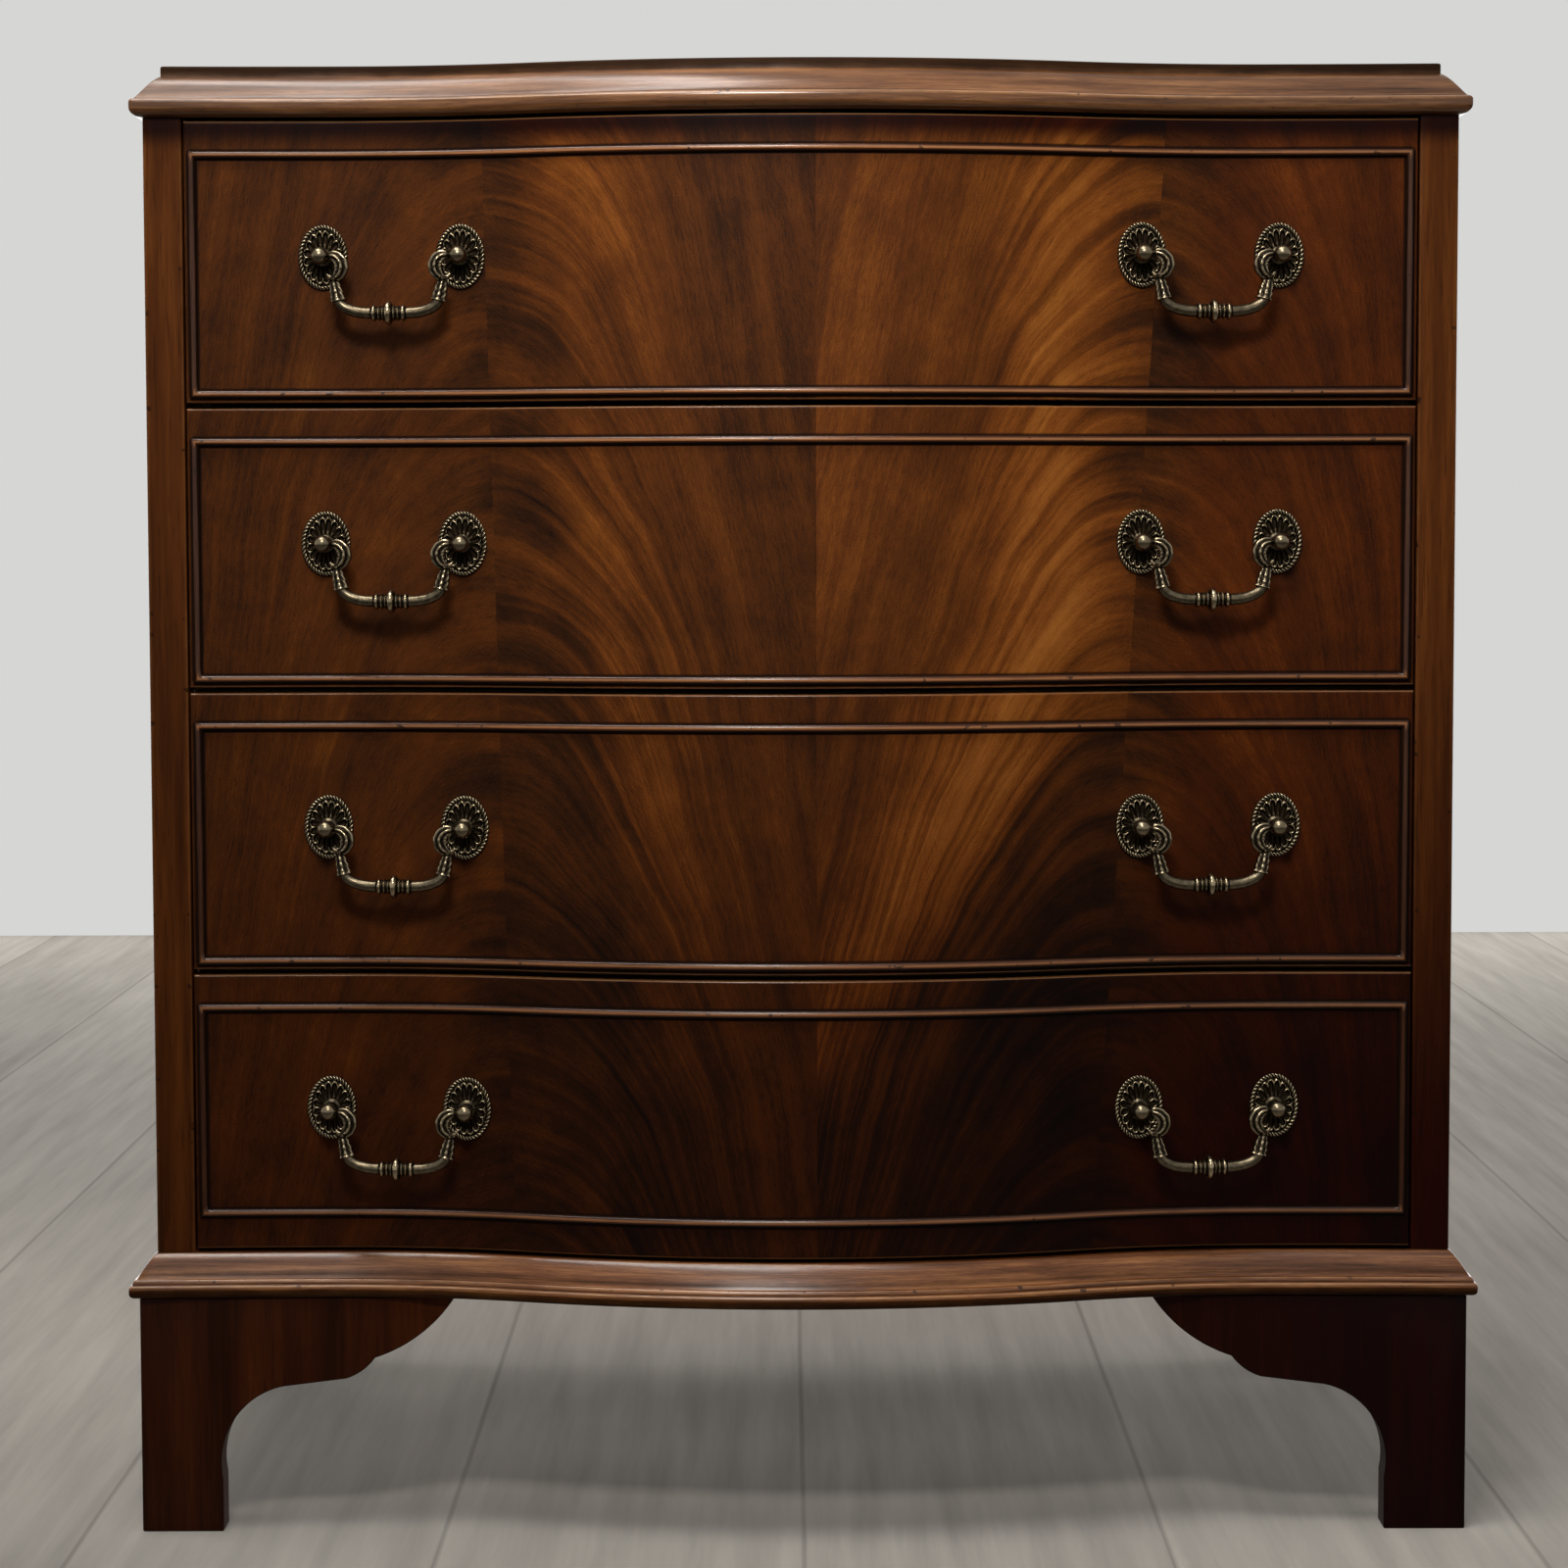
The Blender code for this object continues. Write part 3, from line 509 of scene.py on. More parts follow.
# Nodes of the finishes
class Field:
    """A value over a surface, held as a node's output. Arithmetic on it adds Math nodes."""

    def __init__(self, tree, socket):
        self.tree = tree
        self.socket = socket

    def math(self, operation, *others):
        """A Math node on this field and others."""
        node = self.tree.nodes.new("ShaderNodeMath")
        node.operation = operation
        for slot, value in zip(node.inputs, (self, *others)):
            feed(self.tree, slot, value)
        return Field(self.tree, node.outputs[0])

    def __add__(self, other):
        return self.math("ADD", other)

    __radd__ = __add__

    def __sub__(self, other):
        return self.math("SUBTRACT", other)

    def __rsub__(self, other):
        return self.math("MULTIPLY", -1).math("ADD", other)

    def __mul__(self, other):
        return self.math("MULTIPLY", other)

    __rmul__ = __mul__

    def __abs__(self):
        return self.math("ABSOLUTE")

    def over(self, limit):
        """1 above a limit, else 0."""
        return self.math("GREATER_THAN", limit)

    def bump(self, middle, width):
        """A smooth hill: e to minus the square of the distance from the middle over the width."""
        away = (self - middle) * (1 / width)
        return (away * away * -1).math("EXPONENT")

    def step(self, low, high):
        """0 at low, 1 at high, smooth between and level past them. Low may be the larger."""
        node = self.tree.nodes.new("ShaderNodeMapRange")
        node.interpolation_type = "SMOOTHSTEP"
        feed(self.tree, node.inputs["Value"], self)
        node.inputs["From Min"].default_value = low
        node.inputs["From Max"].default_value = high
        return Field(self.tree, node.outputs["Result"])


def feed(tree, slot, value):
    """Links a field to a socket, or sets the socket's own value."""
    if isinstance(value, Field):
        tree.links.new(value.socket, slot)
    else:
        slot.default_value = value


def axes(tree, whole):
    """The three parts of a vector."""
    node = tree.nodes.new("ShaderNodeSeparateXYZ")
    feed(tree, node.inputs[0], whole)
    return [Field(tree, socket) for socket in node.outputs]


def vector(tree, x, y, z):
    """A vector of three values."""
    node = tree.nodes.new("ShaderNodeCombineXYZ")
    for slot, value in zip(node.inputs, (x, y, z)):
        feed(tree, slot, value)
    return Field(tree, node.outputs[0])


def noise(tree, where, scale, detail=2.0, roughness=0.5, distortion=0.0):
    """Smooth noise about 0.5."""
    node = tree.nodes.new("ShaderNodeTexNoise")
    feed(tree, node.inputs["Vector"], where)
    node.inputs["Scale"].default_value = scale
    node.inputs["Detail"].default_value = detail
    node.inputs["Roughness"].default_value = roughness
    node.inputs["Distortion"].default_value = distortion
    return Field(tree, node.outputs["Fac"])


def mixed(tree, share, first, second, kind="MIX"):
    """Two colours blended by a share."""
    node = tree.nodes.new("ShaderNodeMix")
    node.data_type = "RGBA"
    node.blend_type = kind
    feed(tree, node.inputs["Factor"], share)
    for slot, value in zip([slot for slot in node.inputs if slot.type == "RGBA"], (first, second)):
        feed(tree, slot, value)
    return Field(tree, [slot for slot in node.outputs if slot.type == "RGBA"][0])


def ramp(tree, value, stops):
    """A colour ramp through (place, colour) stops."""
    node = tree.nodes.new("ShaderNodeValToRGB")
    feed(tree, node.inputs[0], value)
    band = node.color_ramp
    band.elements[0].position, band.elements[0].color = stops[0]
    band.elements[1].position, band.elements[1].color = stops[-1]
    for where, colour in stops[1:-1]:
        band.elements.new(where).color = colour
    return Field(tree, node.outputs[0])


def paint(red, green, blue):
    """A colour given in display values of 0 to 255, as linear light."""
    share = np.array([red, green, blue]) / 255
    linear = np.where(share <= 0.04045, share / 12.92, ((share + 0.055) / 1.055) ** 2.4)
    return (*linear.tolist(), 1.0)


def object_place(tree):
    """The place on the piece."""
    return Field(tree, tree.nodes.new("ShaderNodeTexCoord").outputs["Object"])


def grain_axes(tree):
    """Metres along and across the piece's own run."""
    node = tree.nodes.new("ShaderNodeUVMap")
    node.uv_map = "grain"
    return axes(tree, Field(tree, node.outputs[0]))


def edge_value(tree):
    """1 on a worn arris, -1 in a dark corner of wax and painted shade."""
    node = tree.nodes.new("ShaderNodeAttribute")
    node.attribute_name = "edge"
    return Field(tree, node.outputs["Fac"])


def group(name, inputs, outputs):
    """A new node group with named inputs and outputs."""
    tree = bpy.data.node_groups.new(name, "ShaderNodeTree")
    for socket, kind in inputs:
        tree.interface.new_socket(socket, in_out="INPUT", socket_type=kind)
    for socket in outputs:
        tree.interface.new_socket(socket, in_out="OUTPUT", socket_type="NodeSocketFloat")
    source = tree.nodes.new("NodeGroupInput")
    sink = tree.nodes.new("NodeGroupOutput")
    given = {socket: Field(tree, source.outputs[socket]) for socket, _ in inputs}
    return tree, given, sink


def placed_group(tree, made, **values):
    """A group in a material, with its outputs by name."""
    node = tree.nodes.new("ShaderNodeGroup")
    node.node_tree = made
    for name, value in values.items():
        feed(tree, node.inputs[name], value)
    return {socket.name: Field(tree, socket) for socket in node.outputs}


def grain_group():
    """Fibres: noise stretched along the fibre, as broad streaks, fine streaks and short dark pores."""
    tree, given, sink = group("wood grain", [("Place", "NodeSocketVector")], ["Streaks", "Fine", "Pores"])
    where = given["Place"]
    feed(tree, sink.inputs["Streaks"], noise(tree, where, 70, 4, 0.6, 0.2))
    feed(tree, sink.inputs["Fine"], noise(tree, where, 420, 3, 0.6))
    feed(tree, sink.inputs["Pores"], noise(tree, where, 900).step(0.56, 0.70))
    return tree


def wear_group():
    """Handling: arrises rubbed light in broken lengths, nicks along them, and dark wax and painted shade in
    the corners.
    """
    tree, given, sink = group(
        "handled edges and corner shading",
        [("Edge", "NodeSocketFloat"), ("Place", "NodeSocketVector")],
        ["Worn", "Nicks", "Wax and shading"],
    )
    edge = given["Edge"]
    rub = noise(tree, given["Place"], 38, 4, 0.65)
    worn = (edge * (rub + 0.35)).step(0.22, 0.75)
    chip = noise(tree, given["Place"], 160)
    feed(tree, sink.inputs["Worn"], worn)
    feed(tree, sink.inputs["Nicks"], edge.step(0.1, 0.4) * chip.step(0.66, 0.72))
    feed(tree, sink.inputs["Wax and shading"], (edge * -1 + (rub - 0.5) * 0.5).step(0.1, 0.9))
    return tree


def painted_shading_group():
    """Painted shading: darker towards the floor, more so on the right, and a painted shadow under the top's
    nose.
    """
    tree, given, sink = group("painted shading", [("Place", "NodeSocketVector")], ["Shade"])
    x, _, z = axes(tree, given["Place"])
    # Painted shade: darker towards the floor, more so on the right
    lower = z.step(0.54, 0.18) * (x.step(-0.20, 0.36) * 0.64 + 0.36)
    # Painted shadow under the top's nose
    under_nose = z.step(CASE_TOP - 0.018, CASE_TOP - 0.006) * (1 - z.over(CASE_TOP)) * 0.96
    feed(tree, sink.inputs["Shade"], lower.math("MAXIMUM", under_nose))
    return tree


def new_finish(name):
    """A material with one Principled shader."""
    made = bpy.data.materials.new(name)
    made.use_nodes = True
    tree = made.node_tree
    return made, tree, tree.nodes["Principled BSDF"]


def add_bump(tree, shader, height, distance):
    """Relief from a height field."""
    node = tree.nodes.new("ShaderNodeBump")
    node.inputs["Strength"].default_value = 1.0
    node.inputs["Distance"].default_value = distance
    feed(tree, node.inputs["Height"], height)
    tree.links.new(node.outputs[0], shader.inputs["Normal"])


GRAIN = grain_group()
WEAR = wear_group()
PAINTED_SHADING = painted_shading_group()

# How slowly grain changes along its fibre, and the tint of the painted shading
FIBRE = 0.05
PAINTED_SHADING_TINT = (0.13, 0.04, 0.04, 1.0)

# Figure of the veneer, measured on the fronts
SEAM_X = 0.0074
JOIN_FROM = 0.215
STROKE = 1500
STROKE_LENGTH = 8
FLAT_STROKE = math.radians(58)
LEANING_STROKE = math.radians(30)
STEEP_STROKE = math.radians(11)
BAIL_LEVEL = BASE_TOP + FRONT_LIFT + FRONT_HEIGHT - HANDLE_DROP - BAIL_DROP


def strokes(tree, away, z, wave, lean):
    """Short wavy fibre strokes that lean from upright by an angle, down and away from the join."""
    across = away * math.cos(lean) + z * math.sin(lean) + wave
    along = away * math.sin(lean) - z * math.cos(lean)
    return noise(tree, vector(tree, across * STROKE, along * (STROKE / STROKE_LENGTH), lean * 9), 1, 2, 0.6)


def figure(tree, x, y, z, detail, rough=0.5):
    """Noise about 0 at a place of three values."""
    return noise(tree, vector(tree, x, y, z), 1, detail, rough) - 0.5


def flame_veneer():
    """Book-matched crotch veneer: fibres arch over each join and fall ever steeper on both sides of it.

    A fibre is a line of equal height plus a multiple of the square and of the fourth power of the distance
    from the join. The figure is noise that changes fast across those lines and slowly along them, with short
    strokes over it. A flame's light band moves from the join at the top to the seam at the bottom, and it is
    dark behind it.
    """
    made, tree, shader = new_finish("flame_veneer")
    where = object_place(tree)
    x, _, z = axes(tree, where)
    flat = vector(tree, x, 0, z)
    sway = noise(tree, flat, 6) - 0.5
    curl = noise(tree, flat, 21) - 0.5

    # The halves, the joins and the distance from the join
    right = (x - SEAM_X).over(0)
    left = 1 - right
    run = abs(x - SEAM_X)
    climb = z - JOIN_FROM
    join = climb * 0.0243 + 0.1603 + right * (climb * 0.040 - 0.0117)
    inner = (join - run).over(0)
    outer = 1 - inner
    away = abs(join - run)

    # Figure along the fibres
    bent = away + sway * 0.018 + curl * 0.006
    square = bent * bent
    fibre = z + sway * 0.04 + square * 13 + square * square * 200 + right * 0.31 + outer * 0.57
    drift = away * 3 + right * 5 + outer * 9
    cloud = figure(tree, fibre * 7, drift, 0, 3)
    broad = figure(tree, fibre * 40, drift, 3, 2)
    narrow = figure(tree, fibre * 170, drift * 2, 6, 3, 0.6)
    arcs = figure(tree, fibre * 85, drift * 1.5, 12, 2).step(-0.16, 0.16) - 0.5
    hair = figure(tree, fibre * 520, drift * 4, 9, 2).step(0.14, 0.24)
    patch = figure(tree, fibre * 22, away * 24 + right * 5, z * 9, 3, 0.55)

    # Strokes, flat over the join and steep away from it, with blotches and specks
    wave = (noise(tree, flat, 48) - 0.5) * 0.006
    blotch = noise(tree, flat, 34, 3, 0.6) - 0.5
    speckle = noise(tree, flat, 1150, 2, 0.6) - 0.5
    flat_part = away.step(0.055, 0.030)
    steep_part = away.step(0.075, 0.100)
    leaning_part = 1 - flat_part - steep_part
    stroke = strokes(tree, away, z, wave, FLAT_STROKE) * flat_part
    stroke = stroke + strokes(tree, away, z, wave, LEANING_STROKE) * leaning_part
    stroke = stroke + strokes(tree, away, z, wave, STEEP_STROKE) * steep_part - 0.5
    pores = stroke.step(-0.06, -0.20)

    # Light and dark zones
    low_right = (0.48 - z).math("MAXIMUM", 0.0)
    band = left * (0.055 + (0.62 - z) * 0.10) + right * (0.046 + low_right * 0.48)
    depth = (join - run) - band + sway * 0.03
    light_zone = depth.bump(0.0, 0.036) * inner
    behind = depth.step(-0.008, -0.036) * (join - run + 0.04).step(0.0, 0.05)
    dark_zone = behind * z.step(0.50, 0.24)
    upper = z.step(0.30, 0.56)
    middle = run.bump(0.0, 0.080) * upper
    # low_part is painted shade: it darkens the lower drawers and dims their light band and arcs
    low_part = z.step(0.42, 0.16)

    # Tone
    tone = 0.37 + light_zone * (0.12 + right * 0.19 - low_part * 0.19) - dark_zone * 0.16 - low_part * 0.05
    tone = tone - behind * upper * (0.09 + left * 0.03)
    # Painted sheen at the seam: on the upper drawers the right leaf is lighter and the left darker
    tone = tone + middle * (right * 0.17 - 0.08)
    tone = tone + cloud * 0.42 + patch * 0.45 + blotch * 0.35
    tone = tone + broad * (0.08 + light_zone * 0.32 + behind * 0.28)
    tone = tone + narrow * (0.16 + light_zone * 0.34 + behind * 0.24) + stroke * 0.28
    crisp = (0.65 + right * 0.35) * (1 - low_part * 0.45)
    tone = tone + arcs * (light_zone * 0.22 + behind * 0.20 + outer * 0.06 + 0.02) * crisp
    tone = tone + speckle * 0.30 - hair * 0.10 - pores * 0.04

    # Colour, then painted shading, a painted shadow below each bail, and worn edges with wax and painted
    # shade
    colour = ramp(
        tree,
        tone,
        [
            (0.0, paint(24, 12, 6)),
            (0.22, paint(56, 29, 12)),
            (0.45, paint(92, 48, 18)),
            (0.68, paint(130, 72, 27)),
            (1.0, paint(176, 108, 46)),
        ],
    )
    olive = (patch * 3 + 0.25).step(0.0, 1.0) * 0.35
    colour = mixed(tree, olive, colour, (0.90, 1.0, 0.80, 1.0), "MULTIPLY")
    red = outer * right * away.step(0.0, 0.045) * 0.55 + z.step(0.45, 0.15) * 0.35
    colour = mixed(tree, red, colour, (1.0, 0.66, 0.52, 1.0), "MULTIPLY")
    # Painted shade towards the floor and the right, and a painted shadow under the top's nose
    colour = mixed(tree, placed_group(tree, PAINTED_SHADING, Place=where)["Shade"], colour, PAINTED_SHADING_TINT, "MULTIPLY")
    # A painted shadow of each bail on the front, just below its rod
    level = (z - BAIL_LEVEL).math("WRAP", DRAWER_PITCH / 2, -DRAWER_PITCH / 2)
    beside = abs(abs(x) - HANDLE_X)
    painted_bail_shadow = level.bump(-0.0095, 0.0095) * beside.step(0.034, 0.004) * 0.55
    colour = mixed(tree, painted_bail_shadow, colour, paint(9, 4, 2))
    wear = placed_group(tree, WEAR, Edge=edge_value(tree), Place=where)
    # Dark wax and painted shade beside the beads
    colour = mixed(tree, wear["Wax and shading"] * 0.85, colour, paint(12, 5, 3))
    colour = mixed(tree, wear["Worn"] * 0.6, colour, paint(158, 106, 60))
    feed(tree, shader.inputs["Base Color"], colour)
    feed(tree, shader.inputs["Roughness"], 0.42 + narrow * 0.12 + wear["Wax and shading"] * 0.25)
    shader.inputs["Specular IOR Level"].default_value = 0.07
    feed(tree, shader.inputs["Coat Weight"], wear["Worn"] * 0.8)
    shader.inputs["Coat Roughness"].default_value = 0.25
    add_bump(tree, shader, stroke, 0.00006)
    return made


def fibre_place(tree, along):
    """The place on the piece, drawn out along the fibre: along one axis, or along a moulding's own run."""
    x, y, z = axes(tree, object_place(tree))
    if along == "run":
        u, v, _ = grain_axes(tree)
        return vector(tree, u * 0.14, v * 3, x * 0.02)
    stretched = {"x": (x * FIBRE, y, z), "y": (x, y * FIBRE, z), "z": (x, y, z * FIBRE)}
    return vector(tree, *stretched[along])


def mahogany(name, along, dark, body, light, worn, gloss, polish, shaded=1.0):
    """Straight-grained mahogany: streaks from dark to light, painted shading, and worn edges with wax and
    painted shade in the corners.
    """
    made, tree, shader = new_finish(name)
    grain = placed_group(tree, GRAIN, Place=fibre_place(tree, along))
    tone = 0.5 + (grain["Streaks"] - 0.5) * 1.3 + (grain["Fine"] - 0.5) * 0.5
    colour = ramp(tree, tone, [(0.05, paint(*dark)), (0.5, paint(*body)), (0.95, paint(*light))])
    colour = mixed(tree, grain["Pores"] * 0.45, colour, paint(*dark))
    here = object_place(tree)
    wear = placed_group(tree, WEAR, Edge=edge_value(tree), Place=here)
    colour = mixed(tree, wear["Worn"] * 0.7, colour, paint(*worn))
    shade = placed_group(tree, PAINTED_SHADING, Place=here)["Shade"] * shaded
    # Painted shade towards the floor and the right, and a painted shadow under the top's nose
    colour = mixed(tree, shade, colour, PAINTED_SHADING_TINT, "MULTIPLY")
    colour = mixed(tree, wear["Nicks"] * 0.8, colour, paint(22, 12, 7))
    # Dark wax and painted shade in the corners
    colour = mixed(tree, wear["Wax and shading"] * 0.85, colour, paint(16, 8, 4))
    feed(tree, shader.inputs["Base Color"], colour)
    feed(tree, shader.inputs["Roughness"], gloss + (grain["Fine"] - 0.5) * 0.16 + wear["Wax and shading"] * 0.2)
    shader.inputs["Specular IOR Level"].default_value = 0.06
    shader.inputs["Coat Roughness"].default_value = 0.20
    feed(tree, shader.inputs["Coat Weight"], (1 - wear["Wax and shading"]) * (grain["Streaks"] * 1.6 + 0.2) * polish)
    add_bump(tree, shader, grain["Fine"] * 0.5 - grain["Pores"] * 0.4, 0.00005)
    return made


def pale_wood(name, along, dark, light, rough):
    """Bare timber with straight fibres and broad stains."""
    made, tree, shader = new_finish(name)
    grain = placed_group(tree, GRAIN, Place=fibre_place(tree, along))
    stain = noise(tree, object_place(tree), 9, 4, 0.6)
    tone = 0.5 + (grain["Streaks"] - 0.5) * 1.2 + (grain["Fine"] - 0.5) * 0.4 + (stain - 0.5) * 0.6
    colour = ramp(tree, tone, [(0.1, paint(*dark)), (0.9, paint(*light))])
    colour = mixed(tree, grain["Pores"] * 0.35, colour, paint(*dark))
    feed(tree, shader.inputs["Base Color"], colour)
    feed(tree, shader.inputs["Roughness"], rough + (stain - 0.5) * 0.2)
    shader.inputs["Specular IOR Level"].default_value = 0.3
    add_bump(tree, shader, grain["Fine"] * 0.5 - grain["Pores"], 0.00012)
    return made


def aged_brass():
    """Browned brass: dark in the hollows of the casting, rubbed bright on what stands out."""
    made, tree, shader = new_finish("aged_brass")
    edge = edge_value(tree)
    mottle = noise(tree, object_place(tree), 420, 4, 0.6)
    rub = (edge + (mottle - 0.5) * 0.8).step(-0.35, 1.0)
    colour = mixed(tree, rub, paint(33, 28, 21), paint(158, 143, 116))
    colour = mixed(tree, (edge * -1).step(0.2, 1.3), colour, paint(42, 34, 25))
    feed(tree, shader.inputs["Base Color"], colour)
    shader.inputs["Metallic"].default_value = 1.0
    feed(tree, shader.inputs["Roughness"], 0.34 - rub * 0.14 + (mottle - 0.5) * 0.12)
    add_bump(tree, shader, mottle, 0.00006)
    return made


# Finishes: name, run of the fibre, dark, body, light and worn colour, roughness, polish, share of painted
# shading
VENEER = flame_veneer()
SIDE_WOOD = mahogany(
    "side_veneer", "z", (44, 20, 8), (95, 50, 19), (136, 78, 32), (140, 90, 48), 0.42, 0.02
)
MOULDING = mahogany(
    "moulding_mahogany", "run", (40, 22, 11), (106, 66, 34), (162, 110, 64), (200, 146, 92), 0.38, 0.85
)
BASE_WOOD = mahogany(
    "base_mahogany", "run", (34, 17, 6), (130, 76, 32), (206, 138, 72), (246, 188, 134), 0.34, 0.80, 0.3
)
BEAD_WOOD = mahogany(
    "bead_mahogany", "run", (32, 14, 6), (72, 37, 15), (108, 62, 28), (178, 118, 72), 0.36, 0.60, 0.3
)
FOOT_WOOD = mahogany(
    "foot_mahogany", "z", (36, 15, 6), (75, 35, 13), (106, 54, 22), (140, 92, 54), 0.45, 0.03
)
TOP_WOOD = mahogany(
    "top_veneer", "x", (58, 28, 12), (98, 52, 23), (134, 78, 36), (140, 92, 54), 0.40, 0.14
)
CORE_WOOD = mahogany(
    "front_core", "x", (66, 36, 18), (104, 62, 33), (138, 90, 52), (140, 92, 54), 0.55, 0.0
)
LINING = pale_wood("drawer_oak", "y", (126, 94, 58), (186, 150, 104), 0.6)
LINING_BACK = pale_wood("drawer_oak_across", "x", (126, 94, 58), (186, 150, 104), 0.6)
PLYWOOD = pale_wood("plywood", "x", (120, 84, 52), (170, 130, 88), 0.65)
BRASS = aged_brass()


# Pieces of the case
def round_the_case(profile, low):
    """A profile of (out past the case, height) carried along the front's curve and round both corners."""
    out = profile[:, :1]
    half = CASE_HALF + out
    front_x = np.linspace(-1, 1, ACROSS) * (half - CORNER_ROUND)
    front_y = parallel_y(front_x, out)
    corner_y = parallel_y(half, out)
    share = np.linspace(0, 1, 6)[1:]
    corner_x = half - CORNER_ROUND * (1 - share) ** 2
    first = (1 - share) ** 2 * front_y[:, -1:]
    turn_y = first + 2 * share * (1 - share) * corner_y + share**2 * (corner_y + CORNER_ROUND)
    side_y = turn_y[:, -1:] + (BACK_Y - turn_y[:, -1:]) * np.linspace(0, 1, 9)[1:]
    end_x = np.concatenate([corner_x, np.broadcast_to(half, side_y.shape)], 1)
    end_y = np.concatenate([turn_y, side_y], 1)
    x = np.concatenate([-end_x[:, ::-1], front_x, end_x], 1)
    y = np.concatenate([end_y[:, ::-1], front_y, end_y], 1)
    z = np.broadcast_to(low + profile[:, 1:], x.shape)
    return np.stack([x, y, z], -1)


def swept_curve(points, steps=14):
    """A cubic curve drawn towards two points between its ends."""
    share = np.linspace(0, 1, steps)[:, None]
    back = 1 - share
    first, second, third, last = np.array(points)
    return back**3 * first + 3 * back**2 * share * second + 3 * back * share**2 * third + share**3 * last


def rounded_nose(points):
    """Two quarters of ellipses with an upright between them, from the underside up."""
    low, lower, upper, high = points
    return np.concatenate([quarter(low, lower, True, 8), quarter(upper, high, False, 7)])


def top_profile():
    """Rounded nose, ogee and an upright fillet, from the underside up."""
    return np.concatenate([rounded_nose(TOP_NOSE), swept_curve(TOP_OGEE), TOP_FILLET])


def base_profile():
    """Rounded nose, bead and a sweep up to the case, from the underside up."""
    bead = quarter(*BASE_BEAD, False, 7)
    return np.concatenate([rounded_nose(BASE_NOSE), bead, swept_curve(BASE_SWEEP)])


def moulded_board(name, profile, low, look, wax_and_shading):
    """The top or the base: its moulded edge, darkened at the heights given, with painted shade on the base,
    closed by flat boards.
    """
    profile = eased(profile, PROFILE_EASE)
    wax_and_shading = np.interp(profile[:, 1], *np.transpose(wax_and_shading))
    # Painted shade at the base's darkened heights, and the top's dark fillet
    edge = np.where(wax_and_shading < 0, wax_and_shading, bends(profile, EDGE_REACH))[:, None]
    edge[[0, -1]] = 0
    grid = round_the_case(profile, low)
    patch = sheet(grid, (False, True), (0, 1), edge, (0, 1)).outward()
    place(name, mesh_of(name, [patch], 55), [look, TOP_WOOD], "case", [name])


def side_board(name, side):
    """A side of the case: its plan, with eased arrises and the rebate for the back, pulled up."""
    x = np.linspace(INNER_HALF, CASE_HALF, 5)
    front = np.stack([x, face_y(x)], 1)
    rear = BACK_Y - REBATE_DEPTH
    lip = INNER_HALF + REBATE_WIDTH
    back = [(CASE_HALF, BACK_Y), (lip, BACK_Y), (lip, rear), (INNER_HALF, rear)]
    inset = 6 * ARRIS_ROUND
    flat = [(CASE_HALF, front[-1, 1] + inset), (CASE_HALF, BACK_Y - inset)]
    inner = [(INNER_HALF, rear - inset), (INNER_HALF, front[0, 1] + inset)]
    plan = eased(np.concatenate([front, flat, back, inner]), ARRIS_ROUND, closed=True)
    edge = bends(plan, EDGE_REACH, closed=True)
    heights = np.linspace(BASE_TOP + FIT, CASE_TOP - FIT, 9)
    grid = np.empty((len(heights), len(plan), 3))
    grid[..., 0] = side * plan[:, 0]
    grid[..., 1] = plan[:, 1]
    grid[..., 2] = heights[:, None]
    patch = sheet(grid, (False, True), (0, 1), edge[None]).outward()
    place(name, mesh_of(name, [patch], 40), [SIDE_WOOD], "case", [name])


def shaped_bracket():
    """Outline of a shaped bracket, as (run from the corner, height), from the corner's top to its foot."""
    height = FOOT_HEIGHT - FIT
    toe = (TOE, height)
    shoulder, lobe, spring, leg = ((run, height - drop) for run, drop in (SHOULDER, LOBE, SPRING, LEG))
    parts = [
        [(0, height)],
        bulged(toe, shoulder, TOE_BULGE, 24),
        bulged(shoulder, lobe, LOBE_BULGE, 9)[1:],
        bulged(leg, spring, HOLLOW_BULGE, 32)[::-1],
        [(LEG[0], 0), (0, 0)],
    ]
    return np.concatenate(parts)


def plain_bracket():
    """Outline of the straight bracket behind a rear foot."""
    height = FOOT_HEIGHT - FIT
    return np.array([(0, height), (REAR_BRACKET, height), (LEG[0], height - LEG[1]), (LEG[0], 0), (0, 0)])


def bracket_patch(outline, corner, inward, along_x):
    """A bracket of a foot: its outline at the face and at the back, walls between, none at the corner."""
    count = len(outline)
    depth = np.array([0, BRACKET_THICKNESS])[:, None]
    run = np.maximum(outline[:, 0], np.where(depth > 0, depth + GLUE_BLOCK, 0))
    depth = np.broadcast_to(depth, run.shape)
    x, y = (run, depth) if along_x else (depth, run)
    points = np.empty((2, count, 3))
    points[..., 0] = corner[0] + inward[0] * x
    points[..., 1] = corner[1] + inward[1] * y
    points[..., 2] = outline[:, 1]
    points = points.reshape(-1, 3)
    first = np.arange(count - 1)
    walls = np.stack([first, first + 1, first + 1 + count, first + count], 1)
    face = np.arange(count)[None]
    back = np.arange(count)[::-1][None] + count
    flat = [0, 2] if along_x else [1, 2]
    faces = [(ring, points[ring][..., flat]) for ring in (walls, face, back)]
    return Patch(points, faces, np.zeros(len(points)), [0, 0, 0])


def foot(name, corner, inward, outline_x, outline_y):
    """Two brackets that meet in an arris at a corner of the chest, with a glue block in the angle inside."""
    along = bracket_patch(outline_x, corner, inward, True)
    beside = bracket_patch(outline_y, corner, inward, False)
    back = len(outline_x)
    points = np.concatenate([along.points[[0, back - 1, back, -1]], beside.points[[len(outline_y), -1]]])
    block = np.array([[2, 3, 5, 4]])
    tips = np.array([[0, 2, 4], [1, 5, 3]])
    faces = [(block, points[block][..., [0, 2]]), (tips, points[tips][..., [0, 1]])]
    inside = Patch(points, faces, np.zeros(len(points)), [0, 0])
    mesh = mesh_of(name, [along, beside, inside], 40)
    merged(mesh)
    softened(place(name, mesh, [FOOT_WOOD], "case", [name]), FOOT_ARRIS)


